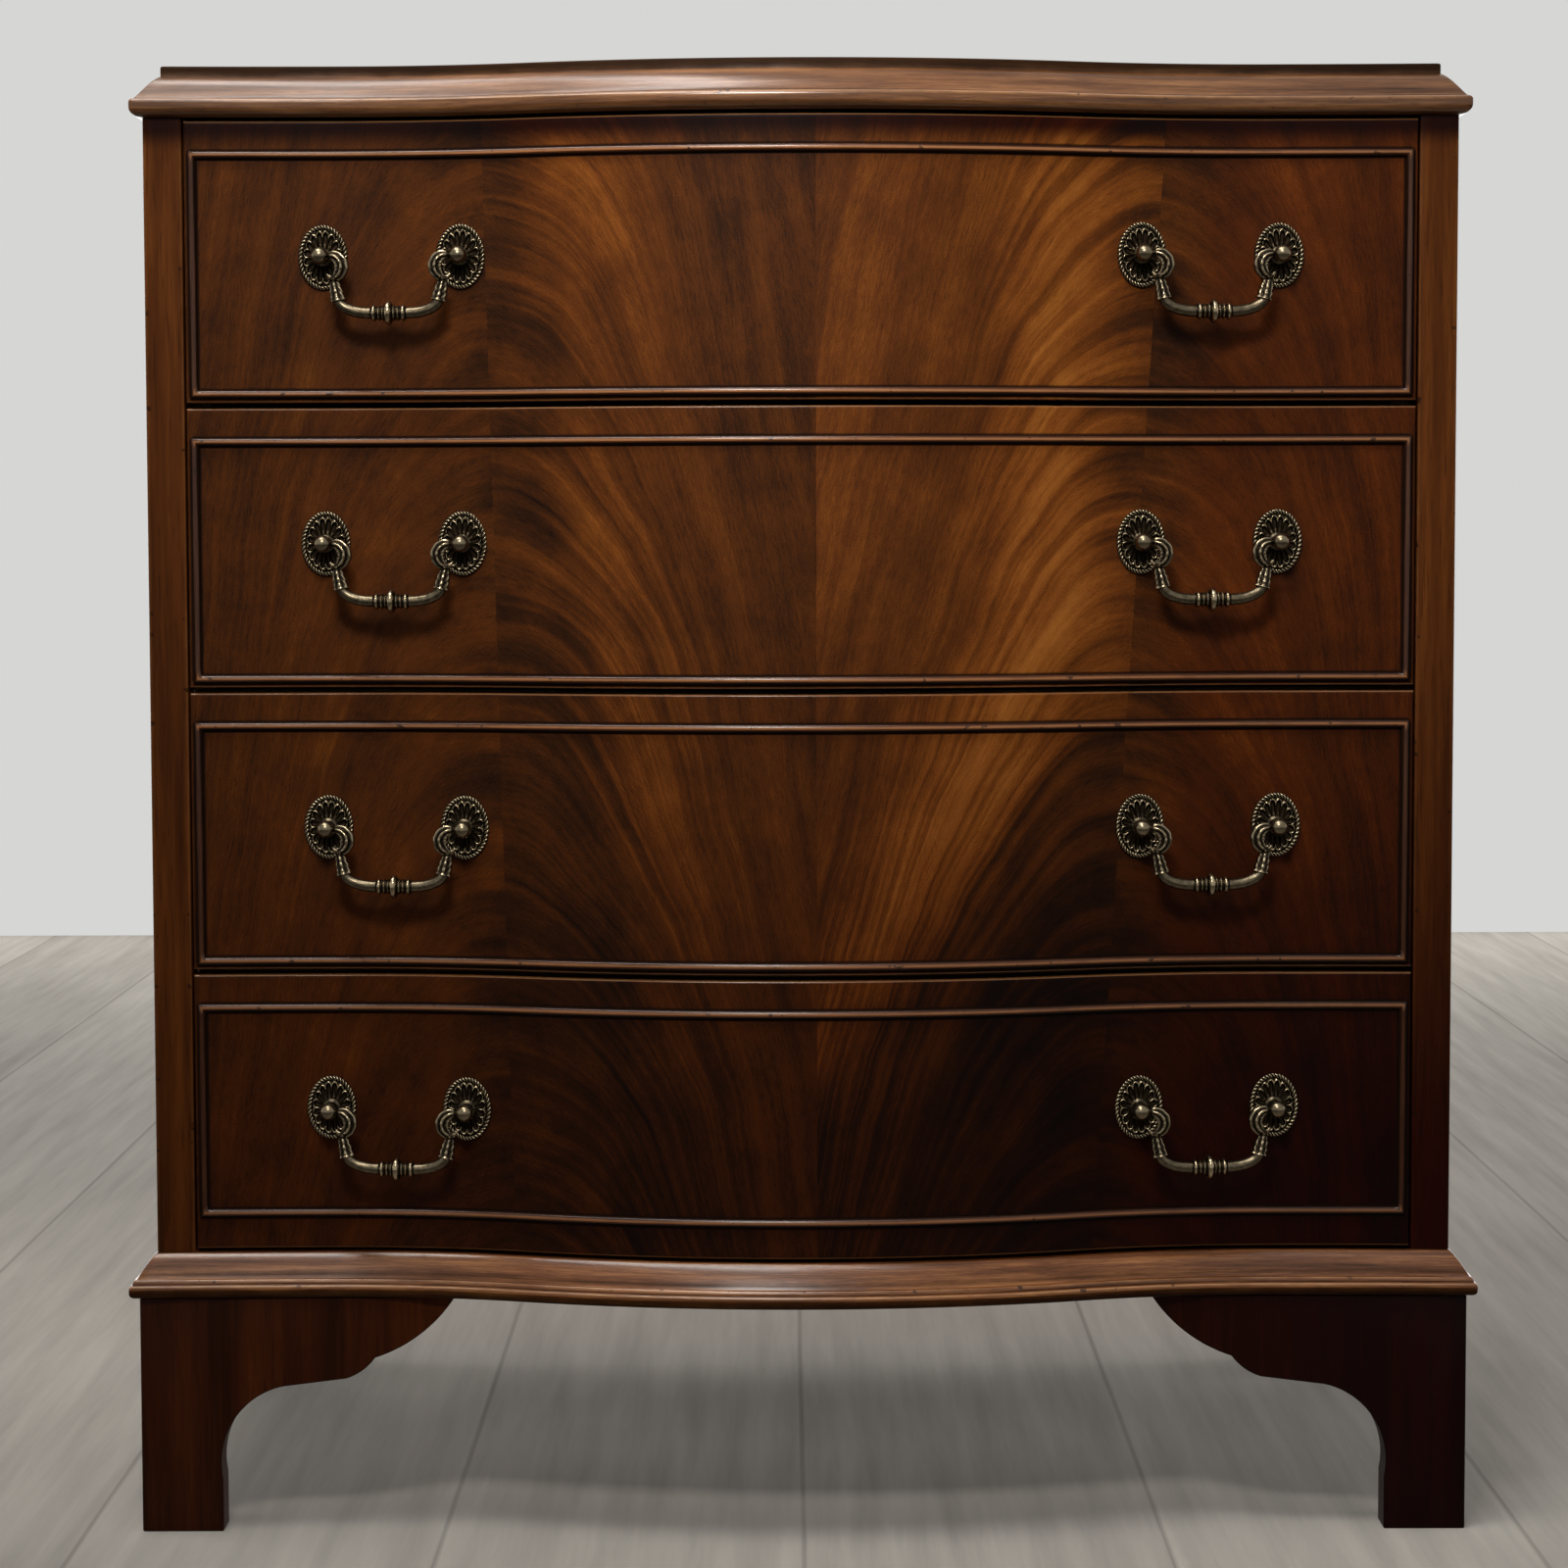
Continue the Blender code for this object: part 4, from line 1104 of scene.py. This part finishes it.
def case():
    """Top, base, sides, feet and the plain boards."""
    moulded_board("top", top_profile(), CASE_TOP, MOULDING, TOP_DARK_FILLET)
    moulded_board("base", base_profile(), FOOT_HEIGHT, BASE_WOOD, BASE_PAINTED_SHADING)
    side_board("side_left", -1)
    side_board("side_right", 1)
    half = CASE_HALF + FOOT_PROUD
    front_y = CORNER_Y - FOOT_PROUD
    shaped = shaped_bracket()
    plain = plain_bracket()
    for side, word in ((-1, "left"), (1, "right")):
        foot(f"foot_front_{word}", (side * half, front_y), (-side, 1), shaped, shaped)
        foot(f"foot_rear_{word}", (side * half, BACK_Y), (-side, -1), plain, shaped)
    for number in range(1, DRAWERS):
        cad_copy(f"dust_board_{number}", PLYWOOD, "case", BOARD_ARRIS)
    cad_copy("back_panel", PLYWOOD, "case", PANEL_ARRIS)


# Pieces of a drawer
def bead_lines(number):
    """The middle lines of a front's bead: half width, lower and upper height."""
    low, high = front_span(number)
    border = BEAD_LOW_BAND if number == DRAWERS else BEAD_BORDER
    return FRONT_HALF - BEAD_BORDER, low + border, high - BEAD_TOP_BAND


def bead_gap(x, height, lines):
    """How far a place is from a front's bead: the distance to its middle line, less half its width."""
    half, low, high = lines
    past_end = np.abs(x) - half
    past_line = np.abs(height - (low + high) / 2) - (high - low) / 2
    outside = np.hypot(np.maximum(past_end, 0), np.maximum(past_line, 0))
    inside = np.minimum(np.maximum(past_end, past_line), 0)
    return np.maximum(outside - inside - BEAD_WIDTH / 2, 0)


def eased_arris():
    """A quarter round at an edge of a front, as (depth behind the face, distance from the edge)."""
    turn = np.linspace(0, np.pi / 2, 4)
    return FRONT_ARRIS * (1 - np.stack([np.sin(turn), np.cos(turn)], 1))


def front_section(number):
    """The face of a front from its lower edge up, with rows close to the bead: depth and height."""
    low, high = front_span(number)
    _, bead_low, bead_high = bead_lines(number)
    near = BEAD_WIDTH / 2 + BESIDE_BEAD
    lines = np.concatenate([bead_low - near, bead_low + near, bead_high - near, bead_high + near])
    rows = np.unique(np.concatenate([np.linspace(low + FIRST_ROW, high - FIRST_ROW, 15), lines]))
    rows = rows[(rows > low + ROW_MARGIN) & (rows < high - ROW_MARGIN)]
    ease = eased_arris()
    depth = np.concatenate([ease[:, 0], np.zeros(len(rows)), ease[::-1, 0]])
    height = np.concatenate([low + ease[:, 1], rows, high - ease[::-1, 1]])
    return depth, height


def front_stations(half):
    """Places along a front, with some close to the bead's uprights: x and depth behind the face."""
    near = BEAD_WIDTH / 2 + BESIDE_BEAD
    lines = np.concatenate([half - near, half + near])
    x = np.unique(np.concatenate([np.linspace(-half, half, ACROSS), lines, -lines]))
    x = x[np.abs(x) < FRONT_HALF - FRONT_ARRIS - STATION_MARGIN]
    ease = eased_arris()
    depth = np.concatenate([ease[:, 0], np.zeros(len(x)), ease[::-1, 0]])
    return np.concatenate([-FRONT_HALF + ease[:, 1], x, FRONT_HALF - ease[::-1, 1]]), depth


def drawer_front(number):
    """A front: its section carried along the plan curve, and ends stepped back behind the lap.

    The rows of the grid go up the face and then round the back: two above at the lap, two on the inside and
    two below at the lap.
    """
    low, high = front_span(number)
    lines = bead_lines(number)
    depth, height = front_section(number)
    x, end_depth = front_stations(lines[0])
    count = len(height)
    wide = len(x)
    tail_depth = np.array([LAP, LAP, FRONT_THICKNESS, FRONT_THICKNESS, LAP, LAP])
    tail_limit = FRONT_HALF - END_RECESS * np.array([0, 1, 1, 1, 1, 0])
    limit = np.concatenate([np.full(count, FRONT_HALF), tail_limit])[:, None]
    reach = np.concatenate([depth, tail_depth])[:, None]
    pulled = np.concatenate([np.ones(count), np.zeros(6)])[:, None] * end_depth
    grid = np.empty((count + 6, wide, 3))
    grid[..., 0] = np.clip(x, -limit, limit)
    grid[..., 1] = face_y(grid[..., 0]) + np.maximum(reach, pulled)
    grid[..., 2] = np.concatenate([height, np.repeat([high, low], 3)])[:, None]
    arris = np.maximum((depth > 0)[:, None] * LEVEL_RUB, (end_depth > 0) * END_RUB)
    # Wax and painted shade in the corner beside the bead
    wax_and_shading = -np.exp(-((bead_gap(x, height[:, None], lines) / BEAD_SHADING_REACH) ** 2))
    edge = np.zeros(grid.shape[:2])
    edge[:count] = np.where(arris > 0, arris, wax_and_shading)
    patch = sheet(grid, (True, False), None, edge)
    quads, uv = patch.faces[0]
    behind = np.zeros(len(quads), bool)
    behind[(count + 1) * (wide - 1) : (count + 4) * (wide - 1)] = True
    patch.faces = [(quads[~behind], uv[~behind]), (quads[behind], uv[behind])]
    patch.looks = [0, 1]
    rings = (
        [*range(count), count, count + 5],
        [count, count + 1, count + 4, count + 5],
        [count + 1, count + 2, count + 3, count + 4],
    )
    for column, turned in ((0, 1), (wide - 1, -1)):
        for ring in rings:
            corners = np.array(ring)[None, ::-turned] * wide + column
            patch.faces.append((corners, patch.points[corners][..., [1, 2]]))
            patch.looks.append(0)
    patch.outward()
    name = f"drawer_{number}_front"
    place(name, mesh_of(name, [patch], 50), [VENEER, CORE_WOOD], f"drawer_{number}", [name])


def drawer_bead(number):
    """A cock bead: a half round, mitred, carried round a front at the face's curve.

    Its crown is rubbed light, partly wear and partly a painted highlight; its foot gets wax and painted
    shade, and it is darker underneath and on the uprights with painted shade.
    """
    half, low, high = bead_lines(number)
    turn = np.linspace(0, np.pi, 11)[:, None]
    wide = BEAD_WIDTH / 2 * np.cos(turn)
    proud = BEAD_PROUD * np.sin(turn) ** 0.8 - BEAD_SINK
    level = np.linspace(-1, 1, ACROSS)
    upright = np.linspace(-1, 1, UPRIGHT_STEPS + 2)[1:-1]
    x = np.concatenate([level, np.ones(UPRIGHT_STEPS), -level, -np.ones(UPRIGHT_STEPS)]) * (half + wide)
    tall = np.concatenate([np.ones(ACROSS), -upright, -np.ones(ACROSS), upright])
    z = (low + high) / 2 + tall * ((high - low) / 2 + wide)
    grid = np.stack([x, parallel_y(x, proud), z], -1)
    # The crown's rub is partly a painted highlight; under and the uprights' term are painted shade
    under = np.maximum(-np.cos(turn) * tall, 0)
    edge = 2.2 * np.sin(turn) ** 3 - 1.2 - 1.4 * under - 0.6 * (np.abs(tall) < 1)
    name = f"drawer_{number}_bead"
    patch = sheet(grid, (True, True), None, edge).outward()
    place(name, mesh_of(name, [patch], 40), [BEAD_WOOD], f"drawer_{number}", [name])


def drawer_lining(number):
    """Sides, back and bottom, from their CAD shapes."""
    name = f"drawer_{number}"
    for word, look, slot in (
        ("side_left", LINING, "lining"),
        ("side_right", LINING, "lining"),
        ("back", LINING_BACK, "lining"),
        ("bottom", PLYWOOD, "plywood"),
    ):
        cad_copy(f"{name}_{word}", look, name, BOARD_ARRIS)


# Pieces of a handle
def rosette_patch(x, z):
    """An oval plate bent to the front: a roped rim, then hollow petals, whose ribs run in to the hub.

    The rope is a half round whose height swings with the angle round plus the angle over it. A petal's rib is
    where the square of the share across it plus the square of the share past its shoulder is one.
    """
    turn = np.linspace(0, 2 * np.pi, STRANDS * 8, endpoint=False)
    over = np.linspace(0, np.pi, 10)[:, None]
    strand = np.cos(STRANDS * turn + ROPE_TWIST * (over / np.pi - 0.5))
    rope = PLATE + ROPE_RADIUS * np.sin(over) * (0.78 + 0.26 * strand)
    radial = np.linspace(1, 0, 24)[1:, None]
    sector = (turn * PETALS / (2 * np.pi)) % 1.0 - 0.5
    past = np.maximum(radial - PETAL_SHOULDER, 0) / PETAL_TIP
    form = (2 * np.abs(sector)) ** 2 + past**2
    rib = np.exp(-(((form - 1) / 0.46) ** 2))
    hollow = np.clip((0.74 - form) / 0.5, 0, 1) * np.clip((radial - 0.08) / 0.2, 0, 1)
    dish = PLATE + RIB_RISE * rib - PETAL_HOLLOW * hollow + DISH_RISE * (1 - radial) ** 2
    rim = ROPE_RADIUS * (1 - np.cos(over))
    inside = 2 * ROPE_RADIUS
    proud = np.concatenate([np.full((1, len(turn)), -FOOT_SINK), rope, dish])
    hub = HUB_RADIUS * 0.8
    wide, tall = (
        np.concatenate([[[half]], half - rim, hub + (half - inside - hub) * radial])
        for half in (ROSETTE[0] / 2, ROSETTE[1] / 2)
    )
    place_x = x + wide * np.cos(turn)
    grid = np.stack([place_x, face_y(place_x) - proud, z + tall * np.sin(turn)], -1)
    rope_edge = (strand * 0.9 + 0.15) * np.sin(over) ** 0.5 - 0.4 * np.cos(over) ** 4
    dish_edge = rib * 1.4 - hollow * 1.1 - 0.45
    edge = np.concatenate([np.full((1, len(turn)), -1), rope_edge, dish_edge])
    return sheet(grid, (False, True), (0, 2), edge).outward()


def lathe(line, place_at, way, sides, edge):
    """A turned piece: a line of (radius, distance from a place) carried round the axis, out or in."""
    x, y, z = place_at
    line = np.array(line)
    turn = np.linspace(0, 2 * np.pi, sides, endpoint=False)
    radius = line[:, :1]
    depth = np.broadcast_to(y + way * line[:, 1:], (len(line), sides))
    grid = np.stack([x + radius * np.cos(turn), depth, z + radius * np.sin(turn)], -1)
    return sheet(grid, (False, True), (0, 2), edge).outward()


def post_patch(x, z):
    """A domed hub, a neck and a ball, turned about the axis that stands out of the front."""
    rise = np.radians(np.linspace(-58, 88, BALL_STEPS))
    ball = np.stack([BALL_RADIUS * np.cos(rise), POST_REACH + BALL_RADIUS * np.sin(rise)], 1)
    dome = np.linspace(0, np.pi / 2, 7)
    hub = np.stack([HUB_RADIUS * np.cos(dome) + HUB_LIP, HUB_FOOT + HUB_RISE * np.sin(dome)], 1)
    hub = hub[hub[:, 0] > NECK_RADIUS + NECK_FILLET + HUB_LIP]
    neck = np.column_stack([(NECK_RADIUS + NECK_FILLET, NECK_RADIUS, NECK_RADIUS), NECK_REACHES])
    line = np.concatenate([[(HUB_RADIUS, -FOOT_SINK)], hub, neck, ball])
    edge = np.concatenate([[-1, -0.6], np.zeros(len(hub) - 1), [-0.7, -0.8, -0.5], np.full(BALL_STEPS, 0.35)])
    return lathe(line, (x, face_y(x), z), -1, 36, edge[:, None])


def arc_path(start, heading, radius, sweep, steps):
    """Points after the start on an arc, with their headings. A positive sweep turns left."""
    side = math.copysign(radius, sweep)
    now = heading + np.linspace(0, sweep, steps + 1)[1:]
    x = start[0] - side * math.sin(heading) + side * np.sin(now)
    z = start[1] + side * math.cos(heading) - side * np.cos(now)
    return np.stack([x, z, now], 1)


def straight_path(start, end, heading, steps):
    """Points after the start on a straight line."""
    share = np.linspace(0, 1, steps + 1)[1:, None]
    line = np.array(start) + (np.array(end) - np.array(start)) * share
    return np.concatenate([line, np.full((steps, 1), heading)], 1)


def stretch(path, radius, flute, vein, edge):
    """A stretch of a bail: a path with the radius, flute, vein and edge value of each of its rows."""
    values = [np.broadcast_to(value, len(path)) for value in (radius, flute, vein, edge)]
    return np.column_stack([path, *values])


def half_bail(half_span):
    """One half of a bail, from its pin to the middle: rows of (x, z, heading, radius, flute, vein, edge).

    Swan neck and leaf sleeve swell and shrink as powers of a sine along their length, the rod falls from the
    sleeve in a cubic curve, and the knop is turned to a profile.
    """
    inward = math.pi
    sleeve_heading = 1.5 * math.pi - SLEEVE_LEAN
    ball = half_span - BALL_RADIUS
    shoulder = ball - SHOULDER_GAP
    curl = (half_span - SWAN_OFFSET, 0.0)
    pin = np.array([(ball + PIN_DEPTH, 0, inward), (shoulder + PIN_STEP, 0, inward)])
    neck = straight_path((shoulder, 0), curl, inward, 3)
    swan = arc_path(curl, inward, SWAN_RADIUS, math.radians(SWAN_SWEEP), 60)
    waist = arc_path(swan[-1, :2], swan[-1, 2], WAIST_BEND, sleeve_heading - swan[-1, 2], 10)
    lean = np.array([math.cos(sleeve_heading), math.sin(sleeve_heading)])
    lip = waist[-1, :2] + SLEEVE_LENGTH * lean
    sleeve = straight_path(waist[-1, :2], lip, sleeve_heading, 44)
    rod_end = np.array([KNOP[0, 0] + KNOP_GAP, -BAIL_DROP])
    line = swept_curve((lip, lip + ROD_PULLS[0] * lean, rod_end + np.array([ROD_PULLS[1], 0]), rod_end), 34)
    slope = np.gradient(line, axis=0)
    heading = np.arctan2(slope[:, 1], slope[:, 0]) % (2 * np.pi)
    rod = np.column_stack([line, heading])[1:]
    knop = np.column_stack([KNOP[:, 0], np.full(len(KNOP), -BAIL_DROP), np.full(len(KNOP), inward)])
    swell = np.sin(np.linspace(0, 1, len(swan)) * np.pi)
    collar = np.exp(-(((np.linspace(0, 1, len(waist)) - 0.6) / 0.16) ** 2))
    low = np.linspace(0, 1, len(sleeve))
    lip_ring = np.exp(-(((low - 0.96) / 0.05) ** 2))
    leaf = np.sin(low * np.pi * 0.93) ** 0.5
    onset = np.linspace(0, FLUTE, len(pin) + len(neck))
    neck_radius = np.linspace(*NECK_THICK, len(neck))
    swan_radius = NECK_THICK[1] + SWAN_SWELL * swell**0.7
    waist_radius = NECK_THICK[1] + COLLAR_SWELL * collar
    sleeve_radius = SLEEVE_THICK + SLEEVE_FLARE * low**0.8 + LIP_SWELL * lip_ring
    rod_radius = np.linspace(ROD_RADIUS - ROD_TAPER, ROD_RADIUS, len(rod))
    rows = [
        stretch(pin, PIN_RADIUS, onset[: len(pin)], 0, -0.5),
        stretch(neck, neck_radius, onset[len(pin) :], 0, 0.1),
        stretch(swan, swan_radius, FLUTE + LEAF_FLUTE * swell**0.5, SWAN_VEIN * swell**0.5, 0.1),
        stretch(waist, waist_radius, FLUTE, 0, collar * 1.2 - 0.5),
        stretch(sleeve, sleeve_radius, LEAF_FLUTE * leaf, SLEEVE_VEIN * leaf, lip_ring * 0.7 - 0.1),
        stretch(rod, rod_radius, 0, 0, 0.15),
        stretch(knop, KNOP[:, 1], 0, 0, KNOP[:, 2]),
    ]
    return np.concatenate(rows)


def swept(path, sides, flutes):
    """A tube along a flat path of (x, z, heading, radius, flute, vein, edge).

    Flutes swing the radius round the tube. Veins swing it along the tube, on a slant.
    """
    turn = np.linspace(0, 2 * np.pi, sides, endpoint=False)
    x, z, heading, radius, flute, vein, edge = path.T[..., None]
    length = np.concatenate([[0], np.cumsum(np.hypot(*np.diff(path[:, :2], axis=0).T))])[:, None]
    swing = -np.cos(flutes * turn)
    ripple = np.cos(2 * np.pi * length / VEIN_SPACING + VEIN_SLANT * np.cos(2 * turn))
    thick = radius + flute * swing + vein * ripple
    across = thick * np.cos(turn)
    forward = thick * np.sin(turn)
    grid = np.stack([x - across * np.sin(heading), forward, z + across * np.cos(heading)], -1)
    carved = edge + swing * np.clip(flute / 0.0004, 0, 0.9) + ripple * np.clip(vein / 0.0005, 0, 0.5)
    return sheet(grid, (False, True), (1, 2), carved)


def leaf_tip(half_span):
    """The curled tip of a swan neck's leaf: a tube that goes on from the end of the neck and thins away."""
    sweep = math.radians(SWAN_SWEEP)
    neck = arc_path((half_span - SWAN_OFFSET, 0.0), math.pi, SWAN_RADIUS, sweep, 2)
    path = arc_path(neck[-1, :2], neck[-1, 2], TIP_RADIUS, math.radians(TIP_SWEEP), 14)
    along = np.linspace(0, 1, len(path))
    return swept(stretch(path, TIP_THICK * (1 - along) ** 0.6 + TIP_POINT, 0, 0, 0.7 - 0.3 * along), 12, 0)


def mirrored(path):
    """The same path on the other side of the middle, run the other way."""
    other = path[::-1].copy()
    other[:, 0] *= -1
    other[:, 2] *= -1
    return other


def turned_out(patch, pivot, turn):
    """A patch of the bail's own frame, turned in plan and set at its pivots."""
    spin = np.array([[math.cos(turn), math.sin(turn), 0], [-math.sin(turn), math.cos(turn), 0], [0, 0, 1]])
    patch.points = patch.points @ spin + np.array(pivot)
    return patch.outward()


def nut_patches(x, z):
    """A washer, a hexagon nut and the end of a bolt, inside a front."""
    inside = (x, face_y(x) + FRONT_THICKNESS, z)
    return [lathe(line, inside, 1, sides, 0.1) for sides, line in FASTENERS]


def handle(number, side, word):
    """Two posts with rosettes, the bail between them, and the nuts inside."""
    name = f"drawer_{number}_{word}"
    body = f"drawer_{number}"
    z = front_span(number)[1] - HANDLE_DROP
    left_x = side * HANDLE_X - POST_SPACING / 2
    right_x = side * HANDLE_X + POST_SPACING / 2
    for end, x in (("left", left_x), ("right", right_x)):
        post = f"{name}_post_{end}"
        mesh = mesh_of(post, [rosette_patch(x, z), post_patch(x, z)], 60)
        place(post, mesh, [BRASS], body, [post])
        nut = f"{name}_nut_{end}"
        place(nut, mesh_of(nut, nut_patches(x, z), 30), [BRASS], body)
    skew = float(face_y(right_x) - face_y(left_x))
    half_span = math.hypot(skew, POST_SPACING) / 2
    pivot_y = float(face_y(left_x) + face_y(right_x)) / 2 - POST_REACH
    turn = math.atan2(skew, POST_SPACING)
    half = half_bail(half_span)
    path = np.concatenate([half, mirrored(half)[1:]])
    tip = leaf_tip(half_span)
    other_tip = Patch(tip.points * np.array([-1, 1, 1]), tip.faces, tip.edge, tip.looks)
    pivot = (side * HANDLE_X, pivot_y, z)
    patches = [turned_out(patch, pivot, turn) for patch in (swept(path, BAIL_SIDES, FLUTES), tip, other_tip)]
    bail = f"{name}_bail"
    place(bail, mesh_of(bail, patches, 60), [BRASS], bail, [bail])


# Camera, floor and light
def camera():
    """The photograph's view: a long lens, just above the middle, tipped a little down."""
    data = bpy.data.cameras.new("camera")
    data.sensor_width = SENSOR_WIDTH
    data.lens = LENS
    obj = shown("camera", data)
    aim = Euler((math.radians(90 - CAMERA_TIP), 0, 0)).to_matrix()
    roll = Matrix.Rotation(math.radians(CAMERA_ROLL), 3, "Z")
    obj.matrix_world = Matrix.Translation(CAMERA_PLACE) @ (aim @ roll).to_4x4()
    bpy.context.scene.camera = obj


def seen_rays(tree):
    """1 where the camera looks, or a reflection or a see-through piece shows the place, else 0."""
    path = tree.nodes.new("ShaderNodeLightPath")
    rays = [Field(tree, path.outputs[f"Is {kind} Ray"]) for kind in ("Camera", "Glossy", "Transmission")]
    return rays[0].math("MAXIMUM", rays[1]).math("MAXIMUM", rays[2])


def floor():
    """Pale grey boards that run away from the view."""
    made, tree, shader = new_finish("floor")
    x, y, _ = axes(tree, object_place(tree))
    boards = x * (1 / FLOOR_BOARD)
    board = boards.math("FLOOR")
    across = boards.math("FRACT")
    joint = abs(across - 0.5).step(0.488, 0.498)
    grain = noise(tree, vector(tree, x * 60, y * 3, board * 7), 1, 4, 0.6) - 0.5
    tint = noise(tree, vector(tree, board * 3.7, 0, 0), 1, 0) - 0.5
    tone = 0.5 + grain * 0.9 + tint * 0.6 - joint * 0.35
    colour = ramp(tree, tone, [(0.0, paint(138, 133, 127)), (1.0, paint(196, 191, 183))])
    feed(tree, shader.inputs["Base Color"], colour)
    feed(tree, shader.inputs["Emission Color"], mixed(tree, seen_rays(tree), (0.0, 0.0, 0.0, 1.0), colour))
    shader.inputs["Emission Strength"].default_value = 0.14
    shader.inputs["Roughness"].default_value = 0.9
    shader.inputs["Specular IOR Level"].default_value = 0.0
    grid = np.zeros((2, 2, 3))
    grid[..., 0] = (FLOOR_HALF, -FLOOR_HALF)
    grid[..., 1] = ((-FLOOR_HALF,), (FLOOR_BACK,))
    mesh = mesh_of("floor", [sheet(grid)], 30)
    mesh.materials.append(made)
    obj = shown("floor", mesh)


def lamp(name, place_at, target, size, power, tint, spread):
    """A soft oblong lamp that looks at a target, shines within a spread and isn't seen itself."""
    data = bpy.data.lights.new(name, "AREA")
    data.shape = "RECTANGLE"
    data.size, data.size_y = size
    data.energy = power
    data.color = tint
    data.spread = math.radians(spread)
    obj = shown(name, data)
    obj.rotation_euler = (Vector(target) - Vector(place_at)).to_track_quat("-Z", "Y").to_euler()
    obj.location = place_at
    obj.visible_camera = False


def world():
    """Pale surroundings to the camera and in reflections, and a plain fill of light."""
    made = bpy.data.worlds.new("world")
    bpy.context.scene.world = made
    made.use_nodes = True
    tree = made.node_tree
    colour = mixed(tree, seen_rays(tree), (0.025, 0.025, 0.026, 1.0), paint(214, 214, 212))
    feed(tree, tree.nodes["Background"].inputs["Color"], colour)


def main():
    """Every piece, then the view and its light."""
    case()
    for number in range(1, DRAWERS + 1):
        drawer_front(number)
        drawer_bead(number)
        drawer_lining(number)
        handle(number, -1, "left")
        handle(number, 1, "right")
    camera()
    floor()
    world()
    for settings in LAMPS:
        lamp(*settings)
    bpy.context.scene.view_settings.view_transform = "Standard"


main()
